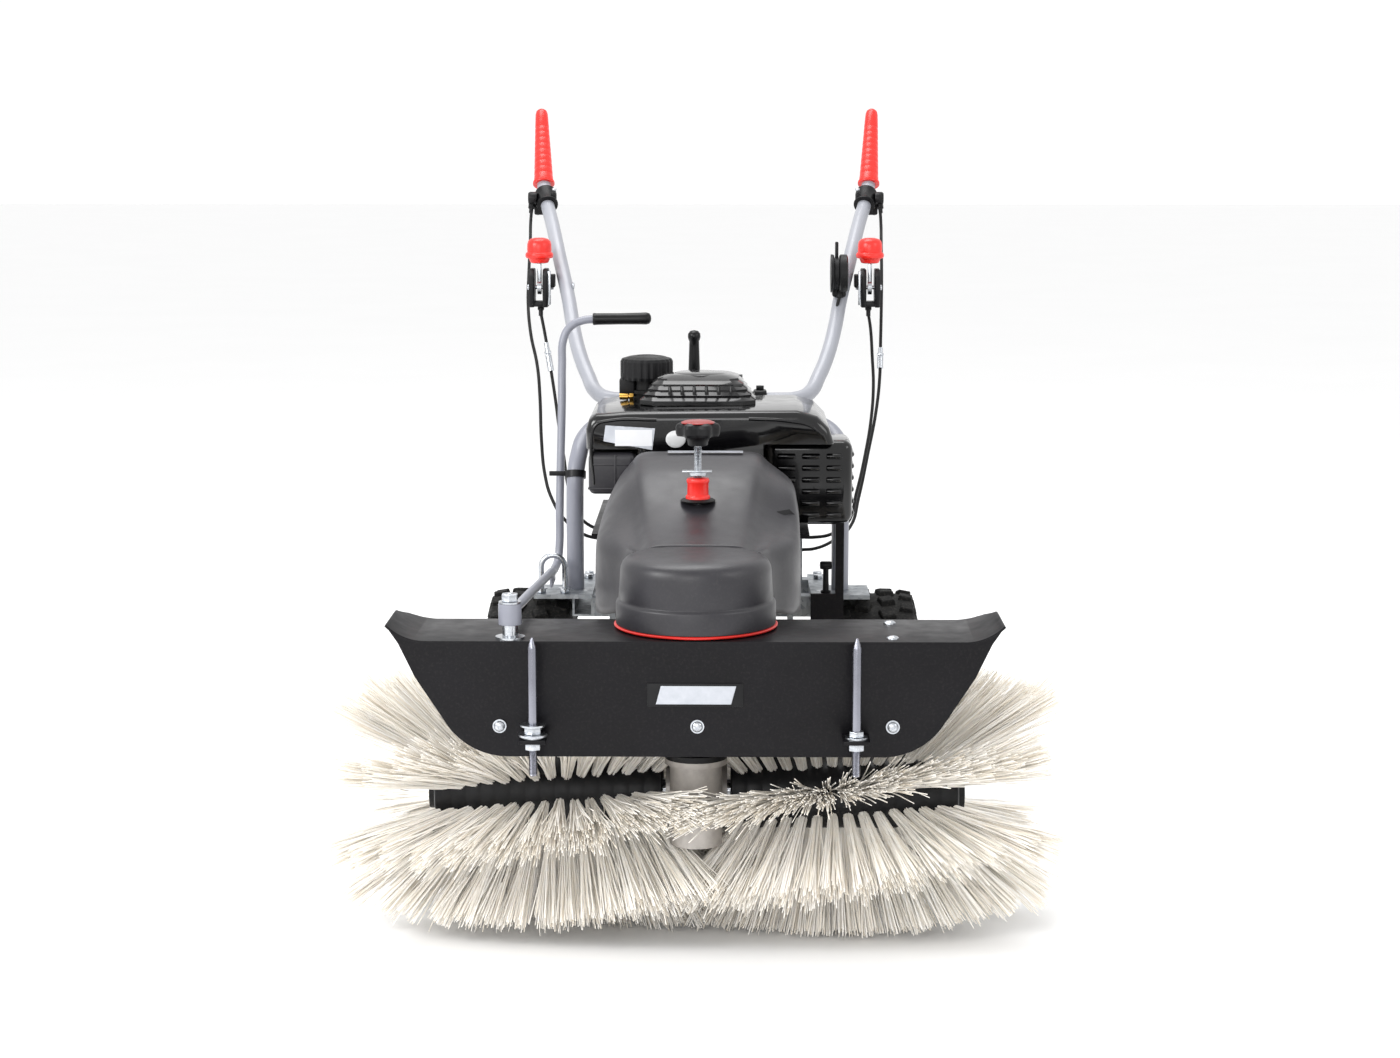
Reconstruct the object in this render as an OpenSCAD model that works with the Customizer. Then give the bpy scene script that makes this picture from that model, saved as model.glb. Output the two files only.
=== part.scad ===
// Walk-behind sweeper with a two-part roller brush, drawn front towards -Y and handles towards +Y.
// Lengths are millimetres, +Z is up, and the origin is on the floor under the middle of the machine.

/* [Brush] */
// Outer diameter of the bristles, which also sets the height of the brush shaft
brush_d = 352; // [340:1:360]
// Diameter of the plastic brush cores
core_d = 92; // [84:1:96]
// Distance from the middle of the machine to the outer end of a core
core_end = 325; // [310:1:330]
// Distance from the middle of the machine to the outermost bristle tips
bristle_end = 430; // [410:1:440]

/* [Hood] */
// Height of the flat top of the brush hood
hood_top = 399; // [397:1:400]
// Height of the lower edge of the front panel
hood_low = 260; // [255:1:275]
// Half of the hood's width at the ear tips
hood_half = 364; // [360:1:366]
// Distance from the brush shaft forward to the front panel
hood_front = 168; // [168:1:170]
// Depth of the hood's top plate
hood_depth = 145; // [140:1:146]

/* [Swivel] */
// Distance from the brush shaft forward to the swivel axis
swivel_fwd = 68; // [68:1:70]
// Distance from the middle of the machine to the link pivot
link_x = 219; // [215:1:222]
// Diameter of the bent swivel rod
rod_d = 12; // [11:0.5:12]

/* [Wheels] */
// Outer diameter of the tyres
tyre_d = 324; // [318:1:325]
// Width of a tyre
tyre_w = 122; // [116:1:124]
// Distance between the tyres' middles
track = 502; // [498:2:510]
// Distance from the brush shaft back to the wheel axle
axle_back = 605; // [600:1:615]

/* [Handle] */
// Diameter of the handlebar tube
bar_d = 22; // [20:0.5:22]
// Diameter of the handle posts
post_d = 25; // [24:0.5:25]
// Diameter of a grip at its lower end
grip_d = 31; // [28:1:32]
// Diameter of a grip at its upper end
grip_tip_d = 20; // [18:1:24]

/* [Guide pins] */
// Diameter of the guide pins in front of the hood
pin_d = 11; // [10:0.5:12]
// Distance between the guide pins
pin_gap = 380; // [376:2:384]

/* [Hidden] */
$fn = 64;
run_fit = 0.05;
shift_y = -496.44;
axis_z = brush_d / 2;
swivel_y = -swivel_fwd;
sheet = 3;
hood_y = -hood_front;
hood_under = hood_top - sheet;
zinc = "#c9ccd0";
black = "#1c1c1f";
grey_paint = "#a9abb2";
red = "#e3231b";

// Heights of the drive line inside the belt cover
nose_z = hood_top + 5;
nose_t = 6;
hub_top = nose_z + 32;
belt_z = hood_top + 24;
belt_w = 10;
big_r = 80;
small_r = 32;
belt_h = 9;
shaft_r = 10;
tube_r = 30;
tube_in = 25;
crank_y = 500;
low_belt_z = 368;
gear_pulley_r = 50;
deck_z = 438;
deck_t = 6;

// Height spindle and the front arm's pivot
spindle_y = 110;
spindle_r = 5;
arm_pivot_y = 490;
arm_pivot_z = 345;
arm_side = 117;
arm_pin_r = 8;

// Chassis
rail_x = 172;
rail_w = 30;
rail_z = 298;
rail_top = rail_z + rail_w;
beam_a_y = 530;
beam_b_y = 668;
plate_t = 6;
post_y = 560;
left_post_x = -184;
right_post_x = 200;
axle_r = 12.5;
rim_r = 76;
key_x = 178;
key_y = 514;
key_r = 4;

module place() {
    translate([0, shift_y, 0]) children();
}

// ---------- helpers ----------

function unit(v) = v / norm(v);

// Points of a smooth curve through p, with n steps between two neighbours
function curve(p, n) = let (m = len(p) - 1) [
    for (i = [0:m - 1])
        for (k = [0:n - 1 + (i == m - 1 ? 1 : 0)])
            let (
                a = p[max(i - 1, 0)], b = p[i], c = p[i + 1], d = p[min(i + 2, m)], t = k / n
            )
            0.5 * (2 * b + (c - a) * t + (2 * a - 5 * b + 4 * c - d) * t * t + (3 * b - a - 3 * c + d) * t * t * t)
];

function tangent(p, i) = unit(p[min(i + 1, len(p) - 1)] - p[max(i - 1, 0)]);

// Side vectors carried along the path without twist
function sides_of(p) = [
    for (
        i = 0,
        t = tangent(p, 0),
        u = unit(cross(t, abs(t.z) < 0.8 ? [0, 0, 1] : [0, 1, 0]));
        i < len(p);
        i = i + 1,
        t = tangent(p, min(i, len(p) - 1)),
        u = unit(u - (u * t) * t)
    ) u
];

// A closed round tube swept along the points p
module sweep(p, r, n) {
    u = sides_of(p);
    pts = [
        for (i = [0:len(p) - 1])
            let (v = cross(tangent(p, i), u[i]))
            for (k = [0:n - 1])
                p[i] + r * (cos(360 * k / n) * u[i] + sin(360 * k / n) * v)
    ];
    m = len(p);
    walls = [
        for (i = [0:m - 2])
            for (k = [0:n - 1])
                let (a = i * n + k, b = i * n + (k + 1) % n)
                [a, a + n, b + n, b]
    ];
    ends = [
        [for (k = [0:n - 1]) k],
        [for (k = [n - 1:-1:0]) (m - 1) * n + k]
    ];
    polyhedron(points = pts, faces = concat(walls, ends), convexity = 6);
}

// A cylinder from a to b, whose radius runs from r to r2
module bar(a, b, r, r2 = -1) {
    d = b - a;
    translate(a)
        rotate([0, acos(d.z / norm(d)), atan2(d.y, d.x)])
            cylinder(h = norm(d), r1 = r, r2 = r2 < 0 ? r : r2);
}

// A cylinder along X from x0 to x1
module rod_x(x0, x1, y, z, r) {
    translate([x0, y, z]) rotate([0, 90, 0]) cylinder(h = x1 - x0, r = r);
}

module rod_z(x, y, z0, z1, r, r2 = -1) {
    translate([x, y, z0]) cylinder(h = z1 - z0, r1 = r, r2 = r2 < 0 ? r : r2);
}

module hex_z(x, y, z0, z1, r) {
    translate([x, y, z0]) cylinder(h = z1 - z0, r = r, $fn = 6);
}

// A box given by its two corners
module block(a, b) {
    translate(a) cube(b - a);
}

// An upright extrusion along Y of an outline in X and Z, from y0 to y1
module along_y(y0, y1) {
    translate([0, y1, 0]) rotate([90, 0, 0]) linear_extrude(y1 - y0) children();
}

// An extrusion along X of an outline in Y and Z, from x0 to x1
module along_x(x0, x1) {
    translate([x0, 0, 0]) rotate([90, 0, 90]) linear_extrude(x1 - x0) children();
}

// A turned solid about the X direction through y, z, from an outline in radius and X
module turned_x(y, z) {
    translate([0, y, z]) rotate([0, 90, 0]) rotate_extrude($fn = 96) children();
}

// A box with rounded upright edges
module soft_box(a, b, r) {
    translate([a.x + r, a.y + r, a.z])
        linear_extrude(b.z - a.z)
            hull()
                for (x = [0, b.x - a.x - 2 * r], y = [0, b.y - a.y - 2 * r])
                    translate([x, y]) circle(r = r, $fn = 32);
}

// ---------- brush ----------

module brush_shaft() {
    color(zinc) place() {
        rod_x(-core_end - 8, core_end + 8, 0, axis_z, 15);
        rod_x(-11, 11, 0, axis_z, 48);
    }
}

core_in = 42;

module core_half() {
    turned_x(0, axis_z)
        polygon([
            [15 + run_fit, core_in], [core_d / 2 - 3, core_in], [core_d / 2, core_in + 3],
            [core_d / 2, core_end - 3], [core_d / 2 - 3, core_end], [15 + run_fit, core_end]
        ]);
}

module brush_cores() {
    color(black) place() {
        core_half();
        mirror([1, 0, 0]) core_half();
    }
}

// Ring of bristles outside one core, leaning out at its outer end
module bristle_half() {
    turned_x(0, axis_z)
        polygon([
            [core_d / 2 + 0.2, core_in + 2], [axis_z * 0.7, core_in - 2], [axis_z, core_in + 10],
            [axis_z, bristle_end - 12], [axis_z - 30, bristle_end], [axis_z * 0.6, bristle_end - 22],
            [core_d / 2 + 0.2, core_end - 6]
        ]);
}

module bristles_left() {
    color("#e8e0cf") place() mirror([1, 0, 0]) bristle_half();
}

module bristles_right() {
    color("#e8e0cf") place() bristle_half();
}

// ---------- head ----------

gear_top = 236;
flange_r = 38;

module gearbox_housing() {
    color("#8b8d90") place()
        difference() {
            union() {
                rod_x(-24, 24, 0, axis_z, 60);
                rod_x(-38, 38, 0, axis_z, 34);
                rod_z(0, swivel_y, 128, gear_top, 32);
                block([-24, swivel_y, 140], [24, 0, 212]);
                rod_z(0, swivel_y, gear_top - 7, gear_top, flange_r);
            }
            rod_x(-50, 50, 0, axis_z, 15 + run_fit);
            rod_x(-14, 14, 0, axis_z, 51);
            rod_z(0, swivel_y, 134, gear_top - 16, 24);
            rod_z(0, swivel_y, gear_top - 17, gear_top + 1, shaft_r + run_fit);
        }
}

module swivel_tube() {
    flange_z = hood_under - 5;
    color("#55575b") place()
        difference() {
            union() {
                rod_z(0, swivel_y, gear_top, hub_top - 6, tube_r);
                rod_z(0, swivel_y, gear_top, gear_top + 7, flange_r);
                rod_z(0, swivel_y, flange_z, hood_under, 40);
                rod_z(0, swivel_y, hood_top, nose_z - 0.4, 44);
            }
            rod_z(0, swivel_y, gear_top + 18, hub_top - 20, tube_in);
            rod_z(0, swivel_y, gear_top - 1, hub_top + 1, shaft_r + run_fit);
        }
}

// Outline of the hood's front panel in X and Z
function side_arc(cx, cz, r, a0, a1, n) = [
    for (i = [0:n]) let (a = a0 + (a1 - a0) * i / n) [cx + r * sin(a), cz - r * cos(a)]
];
hood_corner_r = 86;
hood_corner_x = 222;
ear_r = 64;
ear_turn = 46;
ear_from = hood_half - ear_r * sin(ear_turn);
function half_low() = concat(
    side_arc(hood_corner_x, hood_low + hood_corner_r, hood_corner_r, 0, 54, 8),
    [[331, 356], [350, 396]]
);
// Points of the right ear at one radius, from its tip down to the flat top
function ear_arc(r, turn) = side_arc(ear_from, hood_top + ear_r, r, turn, 0, 6);
function half_top() = ear_arc(ear_r + sheet / 2, ear_turn - 3);
function reverse(p) = [for (i = [len(p) - 1:-1:0]) p[i]];
function flip(p) = [for (q = reverse(p)) [-q.x, q.y]];

module panel_outline() {
    polygon(concat(half_low(), half_top(), flip(half_top()), flip(half_low())));
}

hood_bolt_x = [-231, 3, 234];
hood_bolt_z = hood_top - 102;
tab_z = hood_top - 116;
pin_y = hood_y - 22;
pin_thread_r = pin_d / 2 - 0.4;

module brush_hood() {
    color(black) place()
        difference() {
            union() {
                along_y(hood_y, hood_y + sheet) panel_outline();
                along_y(hood_y + 1, hood_y + hood_depth)
                    polygon(concat(
                        ear_arc(ear_r, ear_turn), flip(ear_arc(ear_r, ear_turn)),
                        reverse(flip(ear_arc(ear_r + sheet, ear_turn))), reverse(ear_arc(ear_r + sheet, ear_turn))
                    ));
                block([-ear_from, hood_y + hood_depth - sheet - 1, hood_top - 18],
                    [ear_from, hood_y + hood_depth - 1, hood_top - 1]);
                for (s = [-1, 1])
                    block([s * pin_gap / 2 - 16, hood_y - 38, tab_z], [s * pin_gap / 2 + 16, hood_y, tab_z + 5]);
            }
            rod_z(0, swivel_y, hood_under - 1, hood_top + 1, tube_r + 0.3);
            rod_z(-link_x, hood_y + 20, hood_under - 1, hood_top + 1, 7.2);
            for (s = [-1, 1])
                rod_z(s * pin_gap / 2, pin_y, tab_z - 1, tab_z + 6, pin_thread_r + run_fit);
        }
}

// Dome heads in front, carriage heads on top, and the washers and nuts of the guide pins
module hood_fasteners() {
    color(zinc) place() {
        for (x = hood_bolt_x)
            translate([x, hood_y, hood_bolt_z])
                rotate([90, 0, 0]) {
                    cylinder(h = 1.5, r = 8);
                    cylinder(h = 5, r1 = 7, r2 = 3.5);
                }
        for (p = [[234, hood_y + 22], [236, hood_y + 118]])
            rod_z(p.x, p.y, hood_top, hood_top + 3, 7, 4);
        for (s = [-1, 1])
            difference() {
                union() {
                    rod_z(s * pin_gap / 2, pin_y, tab_z + 5, tab_z + 7.5, 13);
                    hex_z(s * pin_gap / 2, pin_y, tab_z - 9, tab_z, 10);
                    if (s < 0) {
                        rod_z(s * pin_gap / 2, pin_y, tab_z + 7.5, tab_z + 10, 17);
                        hex_z(s * pin_gap / 2, pin_y, tab_z + 10, tab_z + 19, 11);
                        rod_z(s * pin_gap / 2, pin_y, tab_z + 19, tab_z + 21.5, 15);
                    }
                }
                rod_z(s * pin_gap / 2, pin_y, tab_z - 20, tab_z + 40, pin_thread_r + run_fit);
            }
    }
}

pin_low = 242;
pin_top = 408;

module guide_pins() {
    color(zinc) place()
        for (s = [-1, 1]) {
            seat = tab_z + (s < 0 ? 21.5 : 7.5);
            rod_z(s * pin_gap / 2, pin_y, pin_low, seat, pin_thread_r);
            rod_z(s * pin_gap / 2, pin_y, seat, pin_top - 12, pin_d / 2);
            rod_z(s * pin_gap / 2, pin_y, pin_top - 12, pin_top, pin_d / 2, 1.2);
        }
}

link_y = hood_y + 20;
eye_low = 416;
eye_high = 441;

module link_pivot() {
    color(zinc) place() {
        rod_z(-link_x, link_y, hood_top, hood_top + 3, 17.5);
        hex_z(-link_x, link_y, hood_top + 3, eye_low - 0.4, 9);
        rod_z(-link_x, link_y, hood_under - 12, eye_high + 1, 7);
        rod_z(-link_x, link_y, eye_high + 0.4, eye_high + 2.4, 13);
        hex_z(-link_x, link_y, eye_high + 2.4, eye_high + 12, 10);
        hex_z(-link_x, link_y, hood_under - 10, hood_under, 11);
    }
}

// ---------- vertical drive ----------

module input_shaft() {
    color("#9a9ca0") place() {
        rod_z(0, swivel_y, 138, hub_top + 14, shaft_r);
        rod_z(0, swivel_y, 144, 208, 19.4);
    }
}

// A V-belt pulley rim between z0 and z1 with a groove
module vee_rim(x, y, zc, r, bottom_r, bore) {
    translate([x, y, zc])
        rotate_extrude()
            polygon([
                [bore, -9], [r, -9], [r, -7.6], [bottom_r, -7.2], [bottom_r, 7.2], [r, 7.6], [r, 9], [bore, 9]
            ]);
}

module driven_pulley() {
    color("#5a5c60") place() {
        vee_rim(0, swivel_y, belt_z, big_r, big_r - belt_h - 1.5, 60);
        difference() {
            union() {
                rod_z(0, swivel_y, belt_z + 9, hub_top + 8, big_r - 4);
                rod_z(0, swivel_y, hub_top + 2, hub_top + 12, 20);
            }
            rod_z(0, swivel_y, belt_z + 8, hub_top + 2, 60);
            rod_z(0, swivel_y, belt_z + 8, hub_top + 20, shaft_r + run_fit);
        }
    }
}

// ---------- swivel rod ----------

rod_r = rod_d / 2;
hoop_x = -214;
hoop_y = 520;
hoop_z = 366;
rod_path = [
    [-218.5, -138, 430], [-217, -60, 422], [-216, 100, 407], [-215, 300, 388], [-214, 480, 371],
    [-213, 548, 366], [-210, 570, 375], [-208, 578, 400], [-208, 584, 440], [-207, 602, 520],
    [-206, 622, 600], [-206, 634, 655], [-204, 638, 690], [-194, 641, 708], [-176, 643, 717], [-158, 644, 719]
];
grip_from = [-160, 644, 719];
grip_to = [-84, 644, 720];

module swivel_rod() {
    color(grey_paint) place() {
        difference() {
            union() {
                rod_z(-link_x, link_y, eye_low, eye_high, 13.5);
                sweep(curve(rod_path, 3), rod_r, 12);
            }
            rod_z(-link_x, link_y, eye_low - 1, eye_high + 1, 7 + run_fit);
        }
        for (y = [478:14:534])
            block([hoop_x - 2, y, 349], [hoop_x + 2, y + 8, 366]);
        block([hoop_x - 2, 478, 354], [hoop_x + 2, 542, 366]);
    }
}

module rod_grip() {
    color(black) place()
        difference() {
            union() {
                bar(grip_from, grip_to, 8.6);
                translate(grip_to) sphere(r = 8.6, $fn = 48);
            }
            bar(grip_from - [4, 0, 0], grip_from + [4, 0, 0], rod_r + 0.2);
        }
}

// ---------- front arm ----------

module front_arm() {
    color("#3a3b3f") place()
        difference() {
            union() {
                rod_z(0, swivel_y, nose_z, nose_z + nose_t, 86);
                translate([0, 0, nose_z])
                    linear_extrude(nose_t)
                        polygon([
                            [-79, swivel_y], [-79, -18], [-88, 22], [-arm_side - 3, 100], [-arm_side - 3, 400],
                            [arm_side + 3, 400], [arm_side + 3, 100], [88, 22], [79, -18], [79, swivel_y]
                        ]);
                rod_z(0, swivel_y, nose_z, hub_top, 42);
                for (s = [-1, 1]) {
                    along_x(s * arm_side - 3, s * arm_side + 3)
                        polygon([
                            [110, nose_z + 3], [110, 388], [390, 332], [506, 332], [506, 360],
                            [440, 362], [400, nose_z + 3]
                        ]);
                    block([s * 32 - 4, spindle_y - 12, nose_z + 3], [s * 32 + 4, spindle_y + 12, nose_z + 103]);
                }
                block([-36, spindle_y - 12, nose_z + 98], [36, spindle_y + 12, nose_z + 104]);
            }
            rod_z(0, swivel_y, nose_z - 1, hub_top + 1, tube_r + run_fit);
            rod_z(0, spindle_y, nose_z - 1, nose_z + nose_t + 1, 14);
            rod_z(0, spindle_y, nose_z + 90, nose_z + 110, spindle_r + run_fit);
            rod_x(-arm_side - 10, arm_side + 10, arm_pivot_y, arm_pivot_z, arm_pin_r + run_fit);
        }
}

module pivot_bolts() {
    color(zinc) place()
        for (s = [-1, 1])
            mirror([s < 0 ? 1 : 0, 0, 0]) {
                rod_x(arm_side - 6, arm_side + 17, arm_pivot_y, arm_pivot_z, arm_pin_r);
                translate([arm_side + 13, arm_pivot_y, arm_pivot_z])
                    rotate([0, 90, 0]) cylinder(h = 9, r = 13, $fn = 6);
                rod_x(arm_side - 11, arm_side - 4, arm_pivot_y, arm_pivot_z, 12);
            }
}

// Cross sections of the belt cover: y, half-width, bottom, left shoulder, right shoulder, left middle x and z,
// right middle x and z, ridge half-width, ridge height, crown
cover_rows = [
    [-20, 84, 404, 478, 478, 76, 486, 76, 486, 62, 492, 495],
    [20, 97, 400, 471, 471, 86, 482, 86, 482, 65, 492, 497],
    [50, 116, 390, 472, 472, 98, 486, 98, 485, 68, 498, 504],
    [80, 128, 387, 478, 478, 104, 492, 102, 488, 70, 508, 514],
    [110, 132, 386, 482, 486, 107, 498, 104, 492, 73, 519, 525],
    [140, 132, 386, 484, 502, 108, 506, 112, 508, 76, 533, 538],
    [170, 132, 386, 486, 510, 108, 517, 120, 530, 79, 548, 552],
    [210, 132, 386, 488, 512, 107, 530, 122, 538, 82, 562, 565],
    [250, 131, 386, 490, 512, 106, 538, 122, 538, 84, 568, 570],
    [300, 129, 390, 492, 508, 105, 538, 120, 534, 84, 565, 567],
    [330, 126, 396, 490, 502, 103, 532, 116, 528, 82, 559, 560]
];

function cover_ring(r, t) = [
    [-(r[1] - t), r[0], r[2] - (t > 0 ? 2 : 0)],
    [-(r[1] - t), r[0], r[3] - t * 0.6],
    [-(r[5] - t * 0.6), r[0], r[6] - t * 0.9],
    [-(r[9] - t * 0.4), r[0], r[10] - t],
    [-r[9] * 0.6, r[0], r[10] + (r[11] - r[10]) * 0.7 - t],
    [0, r[0], r[11] - t],
    [r[9] * 0.6, r[0], r[10] + (r[11] - r[10]) * 0.7 - t],
    [r[9] - t * 0.4, r[0], r[10] - t],
    [r[7] - t * 0.6, r[0], r[8] - t * 0.9],
    [r[1] - t, r[0], r[4] - t * 0.6],
    [r[1] - t, r[0], r[2] - (t > 0 ? 2 : 0)]
];

// A closed solid through rings of points that each hold the same number of points
module skin(rings) {
    n = len(rings[0]);
    m = len(rings);
    pts = [for (r = rings) for (p = r) p];
    walls = [
        for (i = [0:m - 2])
            for (k = [0:n - 1])
                let (a = i * n + k, b = i * n + (k + 1) % n)
                each [[a, a + n, b], [b, a + n, b + n]]
    ];
    polyhedron(
        points = pts,
        faces = concat(walls, [[for (k = [0:n - 1]) k]], [[for (k = [n - 1:-1:0]) (m - 1) * n + k]]),
        convexity = 6
    );
}

wall = 4;
drum_r = 97;

module belt_cover() {
    shell = [for (r = cover_rows) cover_ring(r, 0)];
    core = [
        for (i = [0:len(cover_rows) - 1])
            let (
                r = cover_rows[i],
                y = i == 0 ? r[0] - 20 : i == len(cover_rows) - 1 ? r[0] - wall : r[0]
            )
            cover_ring(concat([y], [for (k = [1:11]) r[k]]), wall)
    ];
    color("#26262a") place()
        difference() {
            union() {
                skin(shell);
                rod_z(0, swivel_y, nose_z, nose_z + 26, drum_r);
                rod_z(0, swivel_y, nose_z + 26, nose_z + 30, drum_r, drum_r - 3);
                rod_z(0, swivel_y, nose_z + 30, nose_z + 72, drum_r - 3, drum_r - 6);
                rod_z(0, swivel_y, nose_z + 72, nose_z + 86, drum_r - 6, drum_r - 18);
                rod_z(0, spindle_y, 505, 529, 23);
            }
            skin(core);
            rod_z(0, swivel_y, nose_z - 1, nose_z + 26, drum_r - wall);
            rod_z(0, swivel_y, nose_z + 25, nose_z + 68, drum_r - wall - 3, drum_r - wall - 6);
            rod_z(0, swivel_y, nose_z + 67, nose_z + 82, drum_r - wall - 6, drum_r - wall - 18);
            rod_z(0, spindle_y, 480, 525, 19);
            rod_z(0, spindle_y, 480, 560, 8);
            rod_z(0, spindle_y, 529, 545, 16);
            block([-140, 322, 380], [140, 345, 450]);
        }
}

module drum_seal() {
    color(red) place()
        difference() {
            rod_z(0, swivel_y, nose_z - 3.6, nose_z - 0.2, drum_r + 1.5);
            rod_z(0, swivel_y, nose_z - 5, nose_z + 1, drum_r - 7);
        }
}

collar_z = 529;

module spindle_collar() {
    color(red) place()
        difference() {
            union() {
                rod_z(0, spindle_y, collar_z, collar_z + 5, 15.5);
                rod_z(0, spindle_y, collar_z + 5, collar_z + 22, 13.5);
                rod_z(0, spindle_y, collar_z + 22, collar_z + 27, 14.5);
            }
            rod_z(0, spindle_y, collar_z - 1, collar_z + 30, spindle_r + 0.4);
        }
}

module height_spindle() {
    color(zinc) place() {
        rod_z(0, spindle_y, arm_pivot_z - 8, 600, spindle_r);
        rod_z(0, spindle_y, nose_z + 92, nose_z + 97.6, 9);
        rod_z(0, spindle_y, nose_z + 104.4, nose_z + 108, 9);
        rod_z(0, spindle_y, 560, 564, 11);
        soft_box([-20, spindle_y - 7, 561], [18, spindle_y + 7, 563], 3);
    }
}

knob_z = 598;

module star_knob() {
    color(black) place() {
        difference() {
            rod_z(0, spindle_y, knob_z, knob_z + 12, 13, 16);
            rod_z(0, spindle_y, knob_z - 1, 600 + run_fit, spindle_r + run_fit);
        }
        translate([0, spindle_y, knob_z + 12])
            linear_extrude(14) {
                circle(r = 23);
                for (a = [0:60:300])
                    rotate(a) translate([21, 0]) circle(r = 7.6);
            }
        rod_z(0, spindle_y, knob_z + 26, knob_z + 31, 20, 13);
    }
}

module spindle_nut() {
    color("#b08a3c") place()
        difference() {
            rod_z(0, spindle_y, 336, 354, 14);
            rod_z(0, spindle_y, 330, 360, spindle_r + 1);
        }
}

// ---------- belts ----------

// A belt loop round two pulleys on the same level, between an inner and an outer radius at each
module belt_loop(y0, r0, y1, r1, zc, w, h) {
    translate([0, 0, zc - w / 2])
        linear_extrude(w)
            difference() {
                belt_outline(y0, r0, y1, r1);
                belt_outline(y0, r0 - h, y1, r1 - h);
            }
}

// Two circles and the straight runs that touch both
module belt_outline(y0, r0, y1, r1) {
    d = y1 - y0;
    a = asin((r0 - r1) / d);
    translate([0, y0]) circle(r = r0);
    translate([0, y1]) circle(r = r1);
    polygon([
        [r0 * cos(a), y0 + r0 * sin(a)], [r1 * cos(a), y1 + r1 * sin(a)],
        [-r1 * cos(a), y1 + r1 * sin(a)], [-r0 * cos(a), y0 + r0 * sin(a)]
    ]);
}

module brush_belt() {
    color("#202020") place()
        belt_loop(swivel_y, big_r - 0.5, crank_y, small_r - 0.5, belt_z, belt_w, belt_h);
}

module traction_belt() {
    color("#202020") place()
        belt_loop(crank_y, small_r - 0.5, transmission_y, gear_pulley_r - 0.5, low_belt_z, belt_w, belt_h);
}

idler_pivot = [98, 330];
idler_at = [74, 260];

module idler_arm() {
    z0 = nose_z + nose_t;
    color("#6c6e72") place() {
        translate([0, 0, z0 + 0.4])
            linear_extrude(4)
                hull() {
                    translate(idler_pivot) circle(r = 11, $fn = 32);
                    translate(idler_at) circle(r = 9, $fn = 32);
                }
        rod_z(idler_pivot.x, idler_pivot.y, z0 + 0.4, z0 + 20, 8);
        rod_z(idler_at.x, idler_at.y, z0 + 0.4, z0 + 22, 5);
        rod_z(idler_at.x, idler_at.y, belt_z - 8, belt_z + 8, 17);
        rod_z(idler_at.x, idler_at.y, belt_z + 8, belt_z + 9.5, 19);
    }
}

// ---------- chassis ----------

module square_rail(x0, x1, y0, y1) {
    difference() {
        block([x0, y0, rail_z], [x1, y1, rail_top]);
        block([x0 + 3, y0 - 1, rail_z + 3], [x1 - 3, y1 + 1, rail_top - 3]);
    }
}

module chassis_frame() {
    color(zinc) place() {
        for (s = [-1, 1]) {
            square_rail(s * rail_x - 15, s * rail_x + 15, beam_a_y, 720);
            difference() {
                block([s * 126 - 4, 455, 305], [s * 126 + 4, beam_a_y + 2, deck_z]);
                rod_x(s * 126 - 5, s * 126 + 5, arm_pivot_y, arm_pivot_z, arm_pin_r + run_fit);
            }
            block([s * 144 - 4, beam_b_y, rail_top - 2], [s * 144 + 4, beam_b_y + 26, deck_z]);
            difference() {
                block([s * 199 - 42, 505, rail_top], [s * 199 + 42, 590, rail_top + plate_t]);
                rod_z(key_x, key_y, rail_top - 1, rail_top + plate_t + 1, key_r + run_fit);
            }
        }
        block([-158, beam_a_y, rail_z], [158, beam_a_y + 26, rail_top]);
        block([-158, beam_b_y, rail_z], [158, beam_b_y + 26, rail_top]);
        difference() {
            union() {
                block([-12, spindle_y, 326], [12, beam_a_y + 1, 334]);
                rod_z(0, spindle_y, 326, 336, 16);
                block([-12, beam_a_y - 10, 300], [12, beam_a_y + 1, 334]);
            }
            rod_z(0, spindle_y, 320, 340, spindle_r + 2);
        }
    }
}

// Black deck under the engine, with its outrigger, upright and gusset on the right
module engine_deck() {
    color(black) place() {
        difference() {
            block([-150, 368, deck_z], [150, 700, deck_z + deck_t]);
            rod_z(0, crank_y, deck_z - 1, deck_z + deck_t + 1, 30);
        }
        block([148, 499, deck_z], [203, 505, deck_z + deck_t]);
        block([191, 499, 300], [203, 505, deck_z + deck_t]);
        block([156, 499, 299], [203, 505, rail_top + 9]);
    }
}

transmission_y = 612;
lever_y = 732;
lever_z = 258;
lever_x = -14;

module transmission_case() {
    color("#8f9194") place()
        difference() {
            union() {
                soft_box([-56, 562, 108], [56, 704, rail_z], 14);
                rod_x(-92, 92, axle_back, tyre_d / 2, 34);
                for (s = [-1, 1])
                    block([lever_x + s * 13 - 4, 700, lever_z - 22], [lever_x + s * 13 + 4, lever_y + 16, lever_z + 14]);
                block([lever_x - 17, 700, lever_z - 26], [lever_x + 17, lever_y - 14, lever_z - 16]);
            }
            rod_x(-100, 100, axle_back, tyre_d / 2, axle_r + run_fit);
            rod_z(0, transmission_y, 200, 300, 8 + run_fit);
            rod_x(lever_x - 40, lever_x + 40, lever_y, lever_z, 5 + run_fit);
        }
}

module transmission_pulley() {
    color("#6c6e72") place() {
        rod_z(0, transmission_y, 205, low_belt_z + 12, 8);
        vee_rim(0, transmission_y, low_belt_z, gear_pulley_r, gear_pulley_r - belt_h - 1.5, 7);
    }
}

module gear_lever() {
    color(black) place() {
        rod_x(lever_x - 17, lever_x + 17, lever_y, lever_z, 5);
        rod_x(lever_x - 8, lever_x + 8, lever_y, lever_z, 10);
        rod_z(lever_x, lever_y, lever_z, 640, 5);
        rod_z(lever_x, lever_y, 634, 682, 8.5, 7);
        translate([lever_x, lever_y, 686]) sphere(r = 9, $fn = 40);
    }
}

// ---------- wheels ----------

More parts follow.
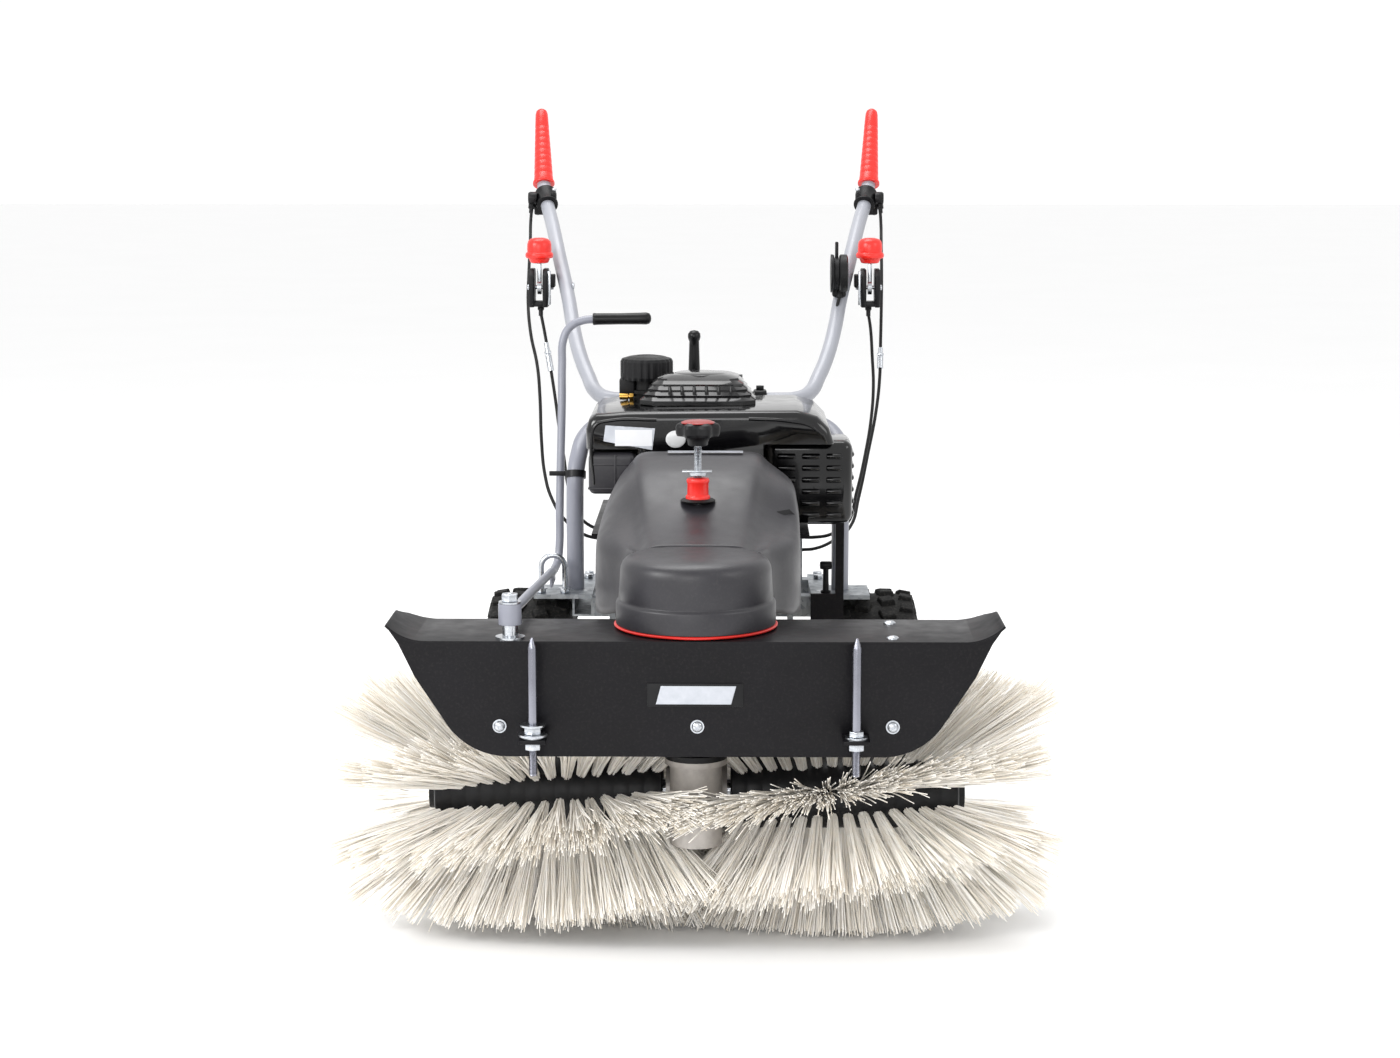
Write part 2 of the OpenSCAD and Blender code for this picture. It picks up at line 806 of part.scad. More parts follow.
module tyre_shape(side) {
    r = tyre_d / 2;
    h = tyre_w / 2;
    turned_x(axle_back, r)
        polygon([
            [rim_r + 0.2, side - 43], [rim_r + 8.6, side - 46], [rim_r + 9, side - 50],
            [r - 34, side - h], [r - 16, side - h + 1],
            [r - 6, side - h + 9], [r, side - h + 24], [r, side + h - 24], [r - 6, side + h - 9],
            [r - 16, side + h - 1], [r - 34, side + h], [rim_r + 9, side + 50],
            [rim_r + 8.6, side + 46], [rim_r + 0.2, side + 43],
            [rim_r + 0.2, side + 36], [rim_r + 10, side + 30], [rim_r + 10, side - 30], [rim_r + 0.2, side - 36]
        ]);
}

module left_tyre() {
    color(black) place() tyre_shape(-track / 2);
}

module right_tyre() {
    color(black) place() tyre_shape(track / 2);
}

// Pressed rim with its flanges, disc, hub and stub axle, drawn for the right side
module rim_shape() {
    x = track / 2;
    difference() {
        union() {
            turned_x(axle_back, tyre_d / 2)
                polygon([
                    [rim_r - 8, x - 46], [rim_r + 8, x - 50], [rim_r + 8, x - 46.5], [rim_r, x - 43.5],
                    [rim_r, x + 43.5], [rim_r + 8, x + 46.5], [rim_r + 8, x + 50], [rim_r - 8, x + 46],
                    [rim_r - 5, x + 40], [rim_r - 5, x + 6], [26, x + 2], [26, x - 2], [rim_r - 5, x - 2], [rim_r - 5, x - 40]
                ]);
            turned_x(axle_back, tyre_d / 2)
                polygon([[0, 60], [axle_r, 60], [axle_r, x - 45], [26, x - 45], [26, x + 40], [20, x + 42], [0, x + 42]]);
        }
        for (a = [0:72:288])
            translate([x, axle_back, tyre_d / 2])
                rotate([a, 0, 0]) rod_x(-10, 10, 48, 0, 9);
    }
}

module right_rim() {
    color("#d8d9db") place() rim_shape();
}

module left_rim() {
    color("#d8d9db") place() mirror([1, 0, 0]) rim_shape();
}

// ---------- engine ----------

module crankshaft() {
    color("#8f9194") place() {
        rod_z(0, crank_y, 352, 625, 12.5);
        vee_rim(0, crank_y, belt_z, small_r, small_r - belt_h - 1.5, 12);
        vee_rim(0, crank_y, low_belt_z, small_r, small_r - belt_h - 1.5, 12);
        rod_z(0, crank_y, 616, 632, 52);
    }
}

block_z = deck_z + deck_t;

module engine_block() {
    color("#77797d") place()
        difference() {
            union() {
                soft_box([-84, 398, block_z], [84, 594, 524], 16);
                soft_box([-80, 398, 520], [80, 498, 598], 10);
                for (z = [534:12:594])
                    block([-82, 396, z], [82, 500, z + 3]);
            }
            rod_z(0, crank_y, block_z - 1, 600, 12.5 + run_fit);
        }
}

shroud_x = [-157, 184];
shroud_y = [366, 600];

// Outline of the shroud in X and Z, drawn in by t
module shroud_outline(t) {
    polygon([
        [shroud_x[0] + t, 480], [shroud_x[0] + t, 590 - t * 0.5], [-146 + t * 0.6, 612 - t],
        [132 - t * 0.3, 614 - t], [172 - t * 0.8, 596 - t], [shroud_x[1] - t, 572 - t * 0.5], [shroud_x[1] - t, 480]
    ]);
}

module engine_shroud() {
    color("#141416") place()
        difference() {
            intersection() {
                along_y(shroud_y[0], shroud_y[1]) shroud_outline(0);
                along_x(-200, 200)
                    polygon([
                        [366, 504], [366, 588], [380, 606], [400, 618], [588, 618], [600, 600], [600, 504]
                    ]);
            }
            intersection() {
                along_y(shroud_y[0] + 5, shroud_y[1] - 5) shroud_outline(5);
                along_x(-200, 200)
                    polygon([
                        [371, 490], [371, 586], [383, 602], [401, 609], [586, 609], [595, 598], [595, 490]
                    ]);
            }
            block([-170, 350, 490], [-84, 476, 560]);
            block([86, 350, 490], [200, 532, 569]);
            rod_z(0, crank_y, 600, 620, 60);
            rod_z(fuel_at.x, fuel_at.y, 600, 620, 24.5);
        }
}

fuel_at = [-80, 572];
recoil_lo = [-86, 436];
recoil_hi = [76, 572];

module recoil_hull(t, z0, z1) {
    hull() {
        translate([0, 0, z0])
            linear_extrude(1)
                polygon([
                    [recoil_lo.x + 18 + t, recoil_lo.y + t], [recoil_hi.x - 18 - t, recoil_lo.y + t],
                    [recoil_hi.x - t, recoil_lo.y + 18 + t], [recoil_hi.x - t, recoil_hi.y - 18 - t],
                    [recoil_hi.x - 18 - t, recoil_hi.y - t], [30, recoil_hi.y - t], [-20, 560 - t], [-34, 525],
                    [recoil_lo.x + t, 515], [recoil_lo.x + t, recoil_lo.y + 18 + t]
                ]);
        translate([0, crank_y, z1 - 1]) cylinder(h = 1, r = 46 - t, $fn = 32);
    }
}

module recoil_cover() {
    color("#17171a") place()
        difference() {
            union() {
                recoil_hull(0, 614, 655);
                rod_z(0, crank_y, 614, 640, 66);
            }
            recoil_hull(6, 600, 648);
            rod_z(0, crank_y, 610, 636, 58);
        }
}

module starter_grip() {
    color(black) place() {
        bar([34, 574, 636], [34, 586, 636], 5, 4);
        translate([34, 591, 636]) rotate([0, 90, 0]) translate([0, 0, -24]) cylinder(h = 48, r = 7);
    }
}

module fuel_tank() {
    color("#202124") place()
        difference() {
            union() {
                soft_box([-142, 506, 530], [-22, 588, 600], 12);
                rod_z(fuel_at.x, fuel_at.y, 598, 636, 20);
                rod_z(fuel_at.x, fuel_at.y, 618, 622, 24);
            }
            rod_z(fuel_at.x, fuel_at.y, 590, 640, 15);
            block([-136, 512, 536], [-28, 582, 594]);
        }
}

module fuel_cap() {
    color("#161618") place()
        difference() {
            union() {
                rod_z(fuel_at.x, fuel_at.y, 626, 640, 30, 37);
                rod_z(fuel_at.x, fuel_at.y, 640, 664, 37);
                rod_z(fuel_at.x, fuel_at.y, 664, 670, 37, 30);
            }
            rod_z(fuel_at.x, fuel_at.y, 620, 646, 20 + run_fit);
        }
}

module air_filter_cover() {
    color("#2c2d31") place()
        difference() {
            soft_box([-154, 368, 497], [-87, 470, 557], 10);
            block([-149, 373, 502], [-92, 480, 552]);
        }
}

module muffler() {
    color("#6f6a64") place() {
        soft_box([104, 446, 462], [198, 514, 556], 18);
        rod_x(84.4, 106, 480, 520, 13);
    }
}

module muffler_guard() {
    color("#17171a") place()
        difference() {
            soft_box([90, 424, 447], [212, 526, 567], 16);
            soft_box([93, 427, 443], [209, 523, 563], 13);
            block([80, 440, 440], [100, 530, 560]);
            for (z = [462:17:547])
                block([108, 420, z], [194, 428, z + 7]);
            for (z = [462:17:547])
                block([206, 442, z], [214, 508, z + 7]);
        }
}

// ---------- handle ----------

left_post = [
    [left_post_x, post_y, 334], [left_post_x, post_y, 400], [left_post_x, post_y, 470], [-183, 563, 500],
    [-179, 580, 528], [-171, 608, 550], [-150, 634, 566], [-120, 648, 574], [-70, 650, 575]
];
right_post = [
    [right_post_x, post_y, 334], [right_post_x, post_y, 400], [right_post_x, post_y, 470], [200, 563, 500],
    [200, 582, 528], [194, 612, 550], [170, 636, 566], [130, 648, 574], [70, 650, 575]
];

module handle_posts() {
    color(grey_paint) place() {
        sweep(curve(left_post, 2), post_d / 2, 16);
        sweep(curve(right_post, 2), post_d / 2, 16);
    }
}

// Half of the handlebar on the right side, from the lower run to the end under the grip
half_bar = [
    [0, 650, 600], [60, 650, 600], [108, 650, 600], [138, 656, 601], [158, 678, 608], [172, 712, 628],
    [186, 748, 656], [198, 790, 692], [209, 842, 737], [226, 906, 794], [243, 985, 846], [256, 1046, 880],
    [263, 1085, 909], [266, 1113, 955]
];
bar_path = concat([for (i = [len(half_bar) - 1:-1:1]) [-half_bar[i].x, half_bar[i].y, half_bar[i].z]], half_bar);

module handlebar() {
    color("#b4b6bb") place() sweep(curve(bar_path, 2), bar_d / 2, 16);
}

module handle_clamps() {
    color(black) place()
        for (s = [-1, 1])
            difference() {
                block([s * 84 - 10, 634, 558], [s * 84 + 10, 666, 616]);
                rod_x(s * 84 - 11, s * 84 + 11, 650, 600, bar_d / 2 + 0.5);
                rod_x(s * 84 - 11, s * 84 + 11, 650, 575, post_d / 2 + 0.5);
            }
}

grip_low = [263, 1085, 909];
grip_high = [270, 1150, 1016];

grip_len = norm(grip_high - grip_low);
grip_dir = (grip_high - grip_low) / grip_len;

module grips() {
    color(red) place()
        for (s = [0, 1])
            mirror([s, 0, 0])
                translate(grip_low)
                    rotate([0, acos(grip_dir.z), atan2(grip_dir.y, grip_dir.x)])
                        rotate_extrude()
                            polygon(concat(
                                [[12.8, -5], [17.5, -5], [17.5, 0], [grip_d / 2, 1]],
                                [for (a = [0:15:75]) [grip_tip_d / 2 * cos(a), grip_len + grip_tip_d / 2 * sin(a)]],
                                [[0, grip_len + grip_tip_d / 2], [0, 57], [bar_d / 2 + 0.3, 56], [12.8, 14]]
                            ));
}

perch_at = [255.9, 1046, 880.5];
perch_dir = unit([19.6, 100, 63.3]);
lever_pivot = [262, 1082, 868];

module lever_perches() {
    color(black) place()
        for (s = [0, 1])
            mirror([s, 0, 0])
                difference() {
                    union() {
                        bar(perch_at - 16 * perch_dir, perch_at + 16 * perch_dir, 17);
                        block([246, 1048, 858], [276, 1070, 876]);
                        bar([272, 1040, 884], [286, 1040, 884], 10);
                        block([250, 1066, 856], [255, 1096, 880]);
                        block([269, 1066, 856], [274, 1096, 880]);
                    }
                    bar(perch_at - 40 * perch_dir, perch_at + 40 * perch_dir, bar_d / 2 + 1.3);
                    rod_x(240, 285, lever_pivot.y, lever_pivot.z, 4 + run_fit);
                }
}

// Curved blade behind a grip, drawn for the right side
module hand_lever() {
    sweep(curve([
        [262, 1084, 868], [262, 1104, 880], [264, 1128, 900], [267, 1156, 932], [270, 1184, 972], [271, 1194, 990]
    ], 3), 4.5, 10);
    rod_x(250, 274, lever_pivot.y, lever_pivot.z, 4);
    rod_x(255.6, 268.4, lever_pivot.y, lever_pivot.z, 8);
}

module right_hand_lever() {
    color(black) place() hand_lever();
}

module left_hand_lever() {
    color(black) place() mirror([1, 0, 0]) hand_lever();
}

shift_x = 255;
shift_y0 = 866;
shift_pivot_z = 752;
throttle_at = [202, 822, 776];

// Two shift lever housings outside the bar and the throttle housing inside it
module control_housings() {
    color(black) place() {
        for (s = [0, 1])
            mirror([s, 0, 0]) {
                difference() {
                    along_x(shift_x - 14, shift_x + 15)
                        polygon([
                            [shift_y0 - 20, 722], [shift_y0 + 12, 722], [shift_y0 + 24, 745], [shift_y0 + 24, 776],
                            [shift_y0 + 14, 781], [shift_y0 - 16, 781], [shift_y0 - 26, 770], [shift_y0 - 26, 742]
                        ]);
                    along_x(shift_x - 6, shift_x + 7)
                        polygon([
                            [shift_y0 - 16, 728], [shift_y0 + 8, 728], [shift_y0 + 60, 800], [shift_y0 - 60, 800]
                        ]);
                    rod_x(shift_x - 20, shift_x + 20, shift_y0, shift_pivot_z, 3 + run_fit);
                }
                difference() {
                    block([231, shift_y0 - 14, 752], [shift_x - 14, shift_y0 + 16, 772]);
                    bar([209, 842, 737], [226, 906, 794], bar_d / 2 + 0.6);
                }
            }
        difference() {
            rod_x(throttle_at.x - 9, throttle_at.x + 17, throttle_at.y, throttle_at.z, 29);
            rod_x(throttle_at.x - 4, throttle_at.x + 4, throttle_at.y, throttle_at.z, 30);
            bar([198, 790, 692], [209, 842, 737], bar_d / 2 + 0.8);
            bar([209, 842, 737], [226, 906, 794], bar_d / 2 + 0.8);
        }
        difference() {
            rod_x(throttle_at.x - 4.5, throttle_at.x + 4.5, throttle_at.y, throttle_at.z, 10);
            rod_x(throttle_at.x - 6, throttle_at.x + 6, throttle_at.y, throttle_at.z, 4 + run_fit);
        }
    }
}

// Mushroom-shaped knob on a flat blade, drawn for the right side
module shift_lever() {
    color(red) {
        rod_z(shift_x, shift_y0, 789, 798, 12, 17);
        rod_z(shift_x, shift_y0, 798, 806, 21, 19);
        rod_z(shift_x, shift_y0, 806, 824, 18, 15);
        rod_z(shift_x, shift_y0, 824, 828, 15, 9);
    }
    block([shift_x - 3, shift_y0 - 6, shift_pivot_z - 4], [shift_x + 3, shift_y0 + 6, 790]);
    rod_x(shift_x - 3, shift_x + 3, shift_y0, shift_pivot_z, 11);
    rod_x(shift_x - 13, shift_x + 14, shift_y0, shift_pivot_z, 3);
}

module right_shift_lever() {
    color(red) place() shift_lever();
}

module left_shift_lever() {
    color(red) place() mirror([1, 0, 0]) shift_lever();
}

module throttle_lever() {
    color(black) place()
        translate(throttle_at) {
            difference() {
                rod_x(-3, 3, 0, 0, 25);
                rod_x(-4, 4, 0, 0, 10.4);
            }
            block([-2.5, -5, 22], [2.5, 5, 48]);
        }
}

// ---------- cables ----------

cable_r = 2.5;
upright_face = 148.2;
left_grip_route = [
    [-279, 1040, 872], [-280, 1026, 850], [-279, 1000, 822], [-278, 950, 770], [-277, 915, 725], [-270, 872, 680],
    [-256, 820, 632], [-250, 785, 586], [-247, 765, 527], [-240, 735, 477], [-227, 705, 443], [-208, 692, 415],
    [-180, 690, 393], [-upright_face, 690, 385]
];
left_shift_route = [
    [-253, 862, 721], [-246, 850, 679], [-236, 832, 625], [-228, 806, 584], [-220, 770, 542], [-210, 720, 505],
    [-202, 690, 465], [-190, 676, 430], [-168, 674, 408], [-upright_face, 674, 403]
];
right_grip_route = [
    [279, 1040, 872], [280, 1026, 850], [279, 990, 815], [278, 950, 765], [276, 915, 715], [274, 890, 662],
    [272, 868, 612], [266, 845, 565], [251, 800, 500], [236, 760, 440], [222, 725, 400], [195, 700, 382],
    [168, 690, 372], [upright_face, 690, 370]
];
right_shift_route = [
    [253, 862, 721], [256, 848, 690], [258, 830, 650], [259, 805, 605], [255, 780, 560], [245, 745, 510],
    [230, 705, 455], [214, 680, 410], [190, 673, 396], [166, 672, 392], [upright_face, 672, 392]
];
throttle_route = [
    [207, 822, 745], [186, 810, 716], [178, 796, 684], [170, 772, 640], [161, 745, 598], [151, 700, 570],
    [138, 660, 552], [118, 628, 545], [100, 601, 545]
];

module cable(p) {
    sweep(curve(p, 1), cable_r, 8);
}

module left_cables() {
    color("#111111") place() {
        cable(left_grip_route);
        cable(left_shift_route);
    }
}

module right_cables() {
    color("#111111") place() {
        cable(right_grip_route);
        cable(right_shift_route);
        cable(throttle_route);
    }
}

// A threaded adjuster on the straight stretch of a cable from a to b
module adjuster(a, b) {
    difference() {
        bar(a + 0.15 * (b - a), b - 0.15 * (b - a), 4.5);
        bar(a, b, cable_r + 0.1);
    }
}

module cable_fittings() {
    color(zinc) place() {
        adjuster(left_shift_route[1], left_shift_route[2]);
        adjuster(right_grip_route[5], right_grip_route[6]);
    }
}

// ---------- small parts on the frame ----------

module rod_guide() {
    r = 17;
    color(zinc) place() {
        for (s = [-1, 1])
            rod_z(hoop_x + s * r, hoop_y, rail_top + plate_t, hoop_z + 6, 4);
        translate([hoop_x, hoop_y, hoop_z + 6])
            rotate([90, 0, 0]) rotate_extrude(angle = 180) translate([r, 0]) circle(r = 4);
        for (s = [-1, 1])
            difference() {
                hex_z(hoop_x + s * r, hoop_y, rail_top + plate_t, rail_top + plate_t + 6, 7.5);
                rod_z(hoop_x + s * r, hoop_y, rail_top, rail_top + 20, 3.9);
            }
    }
}

module lock_key() {
    color(black) place() {
        rod_z(key_x, key_y, 312, 372, key_r);
        rod_x(key_x - 9, key_x + 9, key_y, 376, 6);
        rod_z(key_x, key_y, 334.4, 340, 7);
    }
}

brush_shaft();
brush_cores();
bristles_left();
bristles_right();
gearbox_housing();
swivel_tube();
brush_hood();
hood_fasteners();
guide_pins();
link_pivot();
input_shaft();
driven_pulley();
swivel_rod();
rod_grip();
front_arm();
belt_cover();
drum_seal();
spindle_collar();
brush_belt();
idler_arm();
height_spindle();
star_knob();
spindle_nut();
pivot_bolts();
chassis_frame();
engine_deck();
transmission_case();
transmission_pulley();
traction_belt();
left_tyre();
right_tyre();
left_rim();
right_rim();
crankshaft();
engine_block();
engine_shroud();
recoil_cover();
starter_grip();
fuel_tank();
fuel_cap();
air_filter_cover();
muffler();
muffler_guard();
handle_posts();
handlebar();
handle_clamps();
grips();
lever_perches();
left_hand_lever();
right_hand_lever();
control_housings();
left_shift_lever();
right_shift_lever();
throttle_lever();
left_cables();
right_cables();
cable_fittings();
gear_lever();
rod_guide();
lock_key();
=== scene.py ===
"""Looks of a walk-behind sweeper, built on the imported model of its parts.

The object is a petrol-driven roller-brush sweeper. Every piece is in metres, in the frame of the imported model.
"""
import logging
import math
import random
from dataclasses import dataclass, field
from enum import Enum
from typing import Any, Optional, Sequence

import bmesh
import bpy
from mathutils import Matrix, Vector


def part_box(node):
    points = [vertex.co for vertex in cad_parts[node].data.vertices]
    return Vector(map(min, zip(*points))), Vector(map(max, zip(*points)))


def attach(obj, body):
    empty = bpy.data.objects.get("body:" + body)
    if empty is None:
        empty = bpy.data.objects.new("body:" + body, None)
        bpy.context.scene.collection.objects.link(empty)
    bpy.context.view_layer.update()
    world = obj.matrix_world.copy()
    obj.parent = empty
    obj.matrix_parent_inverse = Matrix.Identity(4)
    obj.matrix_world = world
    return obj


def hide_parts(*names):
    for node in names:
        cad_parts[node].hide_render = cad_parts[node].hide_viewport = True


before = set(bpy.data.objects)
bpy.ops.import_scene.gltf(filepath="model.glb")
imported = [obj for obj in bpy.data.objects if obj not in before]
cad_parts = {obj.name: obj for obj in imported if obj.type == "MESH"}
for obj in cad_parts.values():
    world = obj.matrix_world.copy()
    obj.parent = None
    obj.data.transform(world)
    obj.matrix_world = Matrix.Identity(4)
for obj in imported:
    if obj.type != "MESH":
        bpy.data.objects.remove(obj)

LOG = logging.getLogger("sweeper")
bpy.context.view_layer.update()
MM = 0.001


def middle(node: str) -> Vector:
    """Middle of a node's box.

    Args:
        node: name of the node.

    Returns:
        The point halfway between its lowest and highest corners.
    """
    low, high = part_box(node)
    return (Vector(low) + Vector(high)) / 2


BRUSH_Y = middle("brush_shaft").y


def at(x: float, y: float, z: float) -> Vector:
    """A point given in millimetres from the floor below the brush shaft.

    Args:
        x: millimetres to the right of the middle.
        y: millimetres behind the brush shaft.
        z: millimetres above the floor.

    Returns:
        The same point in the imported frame, in metres.
    """
    return Vector((x * MM, BRUSH_Y + y * MM, z * MM))


def linear(code: str) -> tuple[float, float, float, float]:
    """Linear colour of an sRGB hex value.

    Args:
        code: six hex digits, with or without a leading hash.

    Returns:
        Red, green, blue and alpha, linear.
    """
    code = code.lstrip("#")
    parts = [int(code[i:i + 2], 16) / 255 for i in (0, 2, 4)]
    return tuple(c / 12.92 if c <= 0.04045 else ((c + 0.055) / 1.055) ** 2.4 for c in parts) + (1.0,)


def add_node(tree: Any, kind: str, settings: Optional[dict] = None, links: Optional[dict] = None) -> Any:
    """Adds one shader node.

    Args:
        tree: node tree that takes the node.
        kind: Blender's name of the node type.
        settings: attribute names, or input sockets by name or number, with their values.
        links: input sockets by name or number, with the output socket that feeds each.

    Returns:
        The new node.
    """
    node = tree.nodes.new(kind)
    for key, value in (settings or {}).items():
        if isinstance(key, str) and hasattr(node, key) and key not in node.inputs:
            setattr(node, key, value)
        else:
            node.inputs[key].default_value = value
    for key, socket in (links or {}).items():
        tree.links.new(socket, node.inputs[key])
    return node


class Along(Enum):
    """Direction that a shape is turned or drawn along."""

    X = "x"
    Y = "y"
    Z = "z"


TURN = {
    Along.X: Matrix.Rotation(math.radians(90), 4, "Y"),
    Along.Y: Matrix.Rotation(math.radians(-90), 4, "X"),
    Along.Z: Matrix.Identity(4),
}


# ---------- finishes ----------

@dataclass(frozen=True)
class Finish:
    """Base of the procedural finishes: a mottled colour, uneven gloss and a fine bump.

    Attributes:
        title: name of the material.
        colour: main colour, sRGB hex.
        shade: second colour of the mottling, sRGB hex.
        mottle_mm: size of the mottling.
        mottle: share of the second colour, 0 to 1.
        rough: middle roughness.
        rough_spread: how far the roughness strays to each side.
        grain_mm: size of the bump's grain.
        grain_depth_mm: height of the grain.
        metal: metallic value.
        coat: clear coat weight.
        coat_rough: roughness of the clear coat.
        ior: index of refraction of a non-metal.
        dust: share of pale dust in the broad mottling.
        specular: strength of the non-metal's mirror reflection, 0.5 for a plain one.
    """

    title: str
    colour: str
    shade: str
    mottle_mm: float = 40.0
    mottle: float = 0.5
    rough: float = 0.5
    rough_spread: float = 0.08
    grain_mm: float = 0.8
    grain_depth_mm: float = 0.05
    metal: float = 0.0
    coat: float = 0.0
    coat_rough: float = 0.1
    ior: float = 1.5
    dust: float = 0.0
    specular: float = 0.5

    def material(self) -> bpy.types.Material:
        """Builds the material, or returns it if it is made already.

        Returns:
            The material.
        """
        known = bpy.data.materials.get(self.title)
        if known:
            return known
        made = bpy.data.materials.new(self.title)
        made.use_nodes = True
        tree = made.node_tree
        tree.nodes.clear()
        place = add_node(tree, "ShaderNodeTexCoord").outputs["Object"]
        shader = add_node(tree, "ShaderNodeBsdfPrincipled", {
            "Metallic": self.metal, "Coat Weight": self.coat, "Coat Roughness": self.coat_rough,
            "Specular IOR Level": self.specular,
        })
        if self.metal < 0.5:
            shader.inputs["IOR"].default_value = self.ior
        tree.links.new(self.paint(tree, place), shader.inputs["Base Color"])
        tree.links.new(self.gloss(tree, place), shader.inputs["Roughness"])
        tree.links.new(self.relief(tree, place), shader.inputs["Normal"])
        self.extra(tree, place, shader)
        add_node(tree, "ShaderNodeOutputMaterial", links={"Surface": shader.outputs["BSDF"]})
        made.diffuse_color = linear(self.colour)
        return made

    def paint(self, tree: Any, place: Any) -> Any:
        """Colour socket: two tones mixed by a broad noise, with dust on top.

        Args:
            tree: node tree of the material.
            place: coordinate socket.

        Returns:
            The colour output.
        """
        broad = add_node(tree, "ShaderNodeTexNoise", {"Scale": 1 / (self.mottle_mm * MM), "Detail": 5.0,
            "Roughness": 0.6}, {"Vector": place})
        share = add_node(tree, "ShaderNodeMapRange", {"From Min": 0.35, "From Max": 0.68, "To Max": self.mottle},
                         {"Value": broad.outputs["Fac"]})
        tone = add_node(tree, "ShaderNodeMix", {"data_type": "RGBA", 6: linear(self.colour), 7: linear(self.shade)},
                        {0: share.outputs["Result"]})
        if not self.dust:
            return tone.outputs[2]
        fine = add_node(tree, "ShaderNodeTexNoise", {"Scale": 1 / (3.5 * MM), "Detail": 6.0, "Roughness": 0.7},
                        {"Vector": place})
        film = add_node(tree, "ShaderNodeMapRange", {"From Min": 0.5, "From Max": 0.75, "To Max": self.dust},
                        {"Value": fine.outputs["Fac"]})
        return add_node(tree, "ShaderNodeMix", {"data_type": "RGBA", 7: linear("8d8880")},
                        {0: film.outputs["Result"], 6: tone.outputs[2]}).outputs[2]

    def gloss(self, tree: Any, place: Any) -> Any:
        """Roughness socket that strays a little over a hand's breadth.

        Args:
            tree: node tree of the material.
            place: coordinate socket.

        Returns:
            The roughness output.
        """
        smear = add_node(tree, "ShaderNodeTexNoise", {"Scale": 1 / (24 * MM), "Detail": 4.0}, {"Vector": place})
        return add_node(tree, "ShaderNodeMapRange", {
            "From Min": 0.3, "From Max": 0.7, "To Min": max(0.03, self.rough - self.rough_spread),
            "To Max": self.rough + self.rough_spread,
        }, {"Value": smear.outputs["Fac"]}).outputs["Result"]

    def relief(self, tree: Any, place: Any) -> Any:
        """Normal socket of the fine grain.

        Args:
            tree: node tree of the material.
            place: coordinate socket.

        Returns:
            The normal output.
        """
        grain = add_node(tree, "ShaderNodeTexNoise", {"Scale": 1 / (self.grain_mm * MM), "Detail": 3.0},
                         {"Vector": place})
        return add_node(tree, "ShaderNodeBump", {"Strength": 0.6, "Distance": self.grain_depth_mm * MM},
                        {"Height": grain.outputs["Fac"]}).outputs["Normal"]

    def extra(self, tree: Any, place: Any, shader: Any) -> None:
        """Room for what one kind of finish adds to the shader."""


@dataclass(frozen=True)
class ZincPlate(Finish):
    """Hot-dip or electroplated zinc: crystals of slightly different grey on bright metal.

    Attributes:
        spangle_mm: size of a crystal.
    """

    spangle_mm: float = 5.0

    def paint(self, tree: Any, place: Any) -> Any:
        """Colour socket with a different grey for each crystal.

        Args:
            tree: node tree of the material.
            place: coordinate socket.

        Returns:
            The colour output.
        """
        cells = add_node(tree, "ShaderNodeTexVoronoi", {"Scale": 1 / (self.spangle_mm * MM), "Randomness": 1.0},
                         {"Vector": place})
        grey = add_node(tree, "ShaderNodeSeparateColor", links={"Color": cells.outputs["Color"]})
        return add_node(tree, "ShaderNodeMix", {"data_type": "RGBA", 6: linear(self.colour), 7: linear(self.shade)},
                        {0: grey.outputs["Red"]}).outputs[2]


@dataclass(frozen=True)
class Turned(Finish):
    """Machined steel with fine tool marks across its axis.

    Attributes:
        along: direction of the axis, which the marks follow each other along.
        pitch_mm: distance between two marks, drawn wider than real so that it shows.
    """

    along: Along = Along.Z
    pitch_mm: float = 1.2

    def relief(self, tree: Any, place: Any) -> Any:
        """Normal socket of the tool marks.

        Args:
            tree: node tree of the material.
            place: coordinate socket.

        Returns:
            The normal output.
        """
        marks = add_node(tree, "ShaderNodeTexWave", {
            "bands_direction": self.along.name, "Scale": 0.314 / (self.pitch_mm * MM), "Distortion": 0.4, "Detail": 1.0,
        }, {"Vector": place})
        return add_node(tree, "ShaderNodeBump", {"Strength": 0.5, "Distance": 0.12 * MM},
                        {"Height": marks.outputs["Fac"]}).outputs["Normal"]


@dataclass(frozen=True)
class Strand(Finish):
    """Polypropylene bristle: cream, streaked along its length."""

    def paint(self, tree: Any, place: Any) -> Any:
        """Colour socket: cream strands that differ a little from each other, dusty towards the tips.

        Args:
            tree: node tree of the material.
            place: coordinate socket.

        Returns:
            The colour output.
        """
        tone = Finish.paint(self, tree, place)
        tint = add_node(tree, "ShaderNodeAttribute", {"attribute_name": "strand_tint"})
        return add_node(tree, "ShaderNodeMix", {"data_type": "RGBA", 7: linear("d8c9ae")},
                        {0: tint.outputs["Fac"], 6: tone}).outputs[2]

    def extra(self, tree: Any, place: Any, shader: Any) -> None:
        """Adds the faint sheen of drawn filament.

        Args:
            tree: node tree of the material.
            place: coordinate socket.
            shader: the principled shader.
        """
        shader.inputs["Sheen Weight"].default_value = 0.15
        shader.inputs["Sheen Roughness"].default_value = 0.4


# Satin black stoving enamel on pressed sheet steel: dark, soft broad highlights, a trace of orange peel
HOOD_BLACK = Finish("black_stoved_sheet_steel", "#0c0b0e", "#131216", 90, 0.5, 0.38, 0.06, 1.6, 0.05, dust=0.03,
    specular=0.16)
# High-gloss black enamel of an engine shroud: mirror-like, with slow waves in the reflections
GLOSS_BLACK = Finish("gloss_black_enamel", "#070708", "#0b0b0d", 60, 0.5, 0.16, 0.05, 9.0, 0.05, coat=0.35,
    coat_rough=0.04, specular=0.3)
# Moulded ABS with a leather-like grain: dark grey-black, broad grey highlight
COVER_BLACK = Finish("grained_moulded_abs", "#232226", "#2b2a2f", 70, 0.6, 0.40, 0.05, 1.3, 0.06, ior=1.53, dust=0.04,
    specular=0.4)
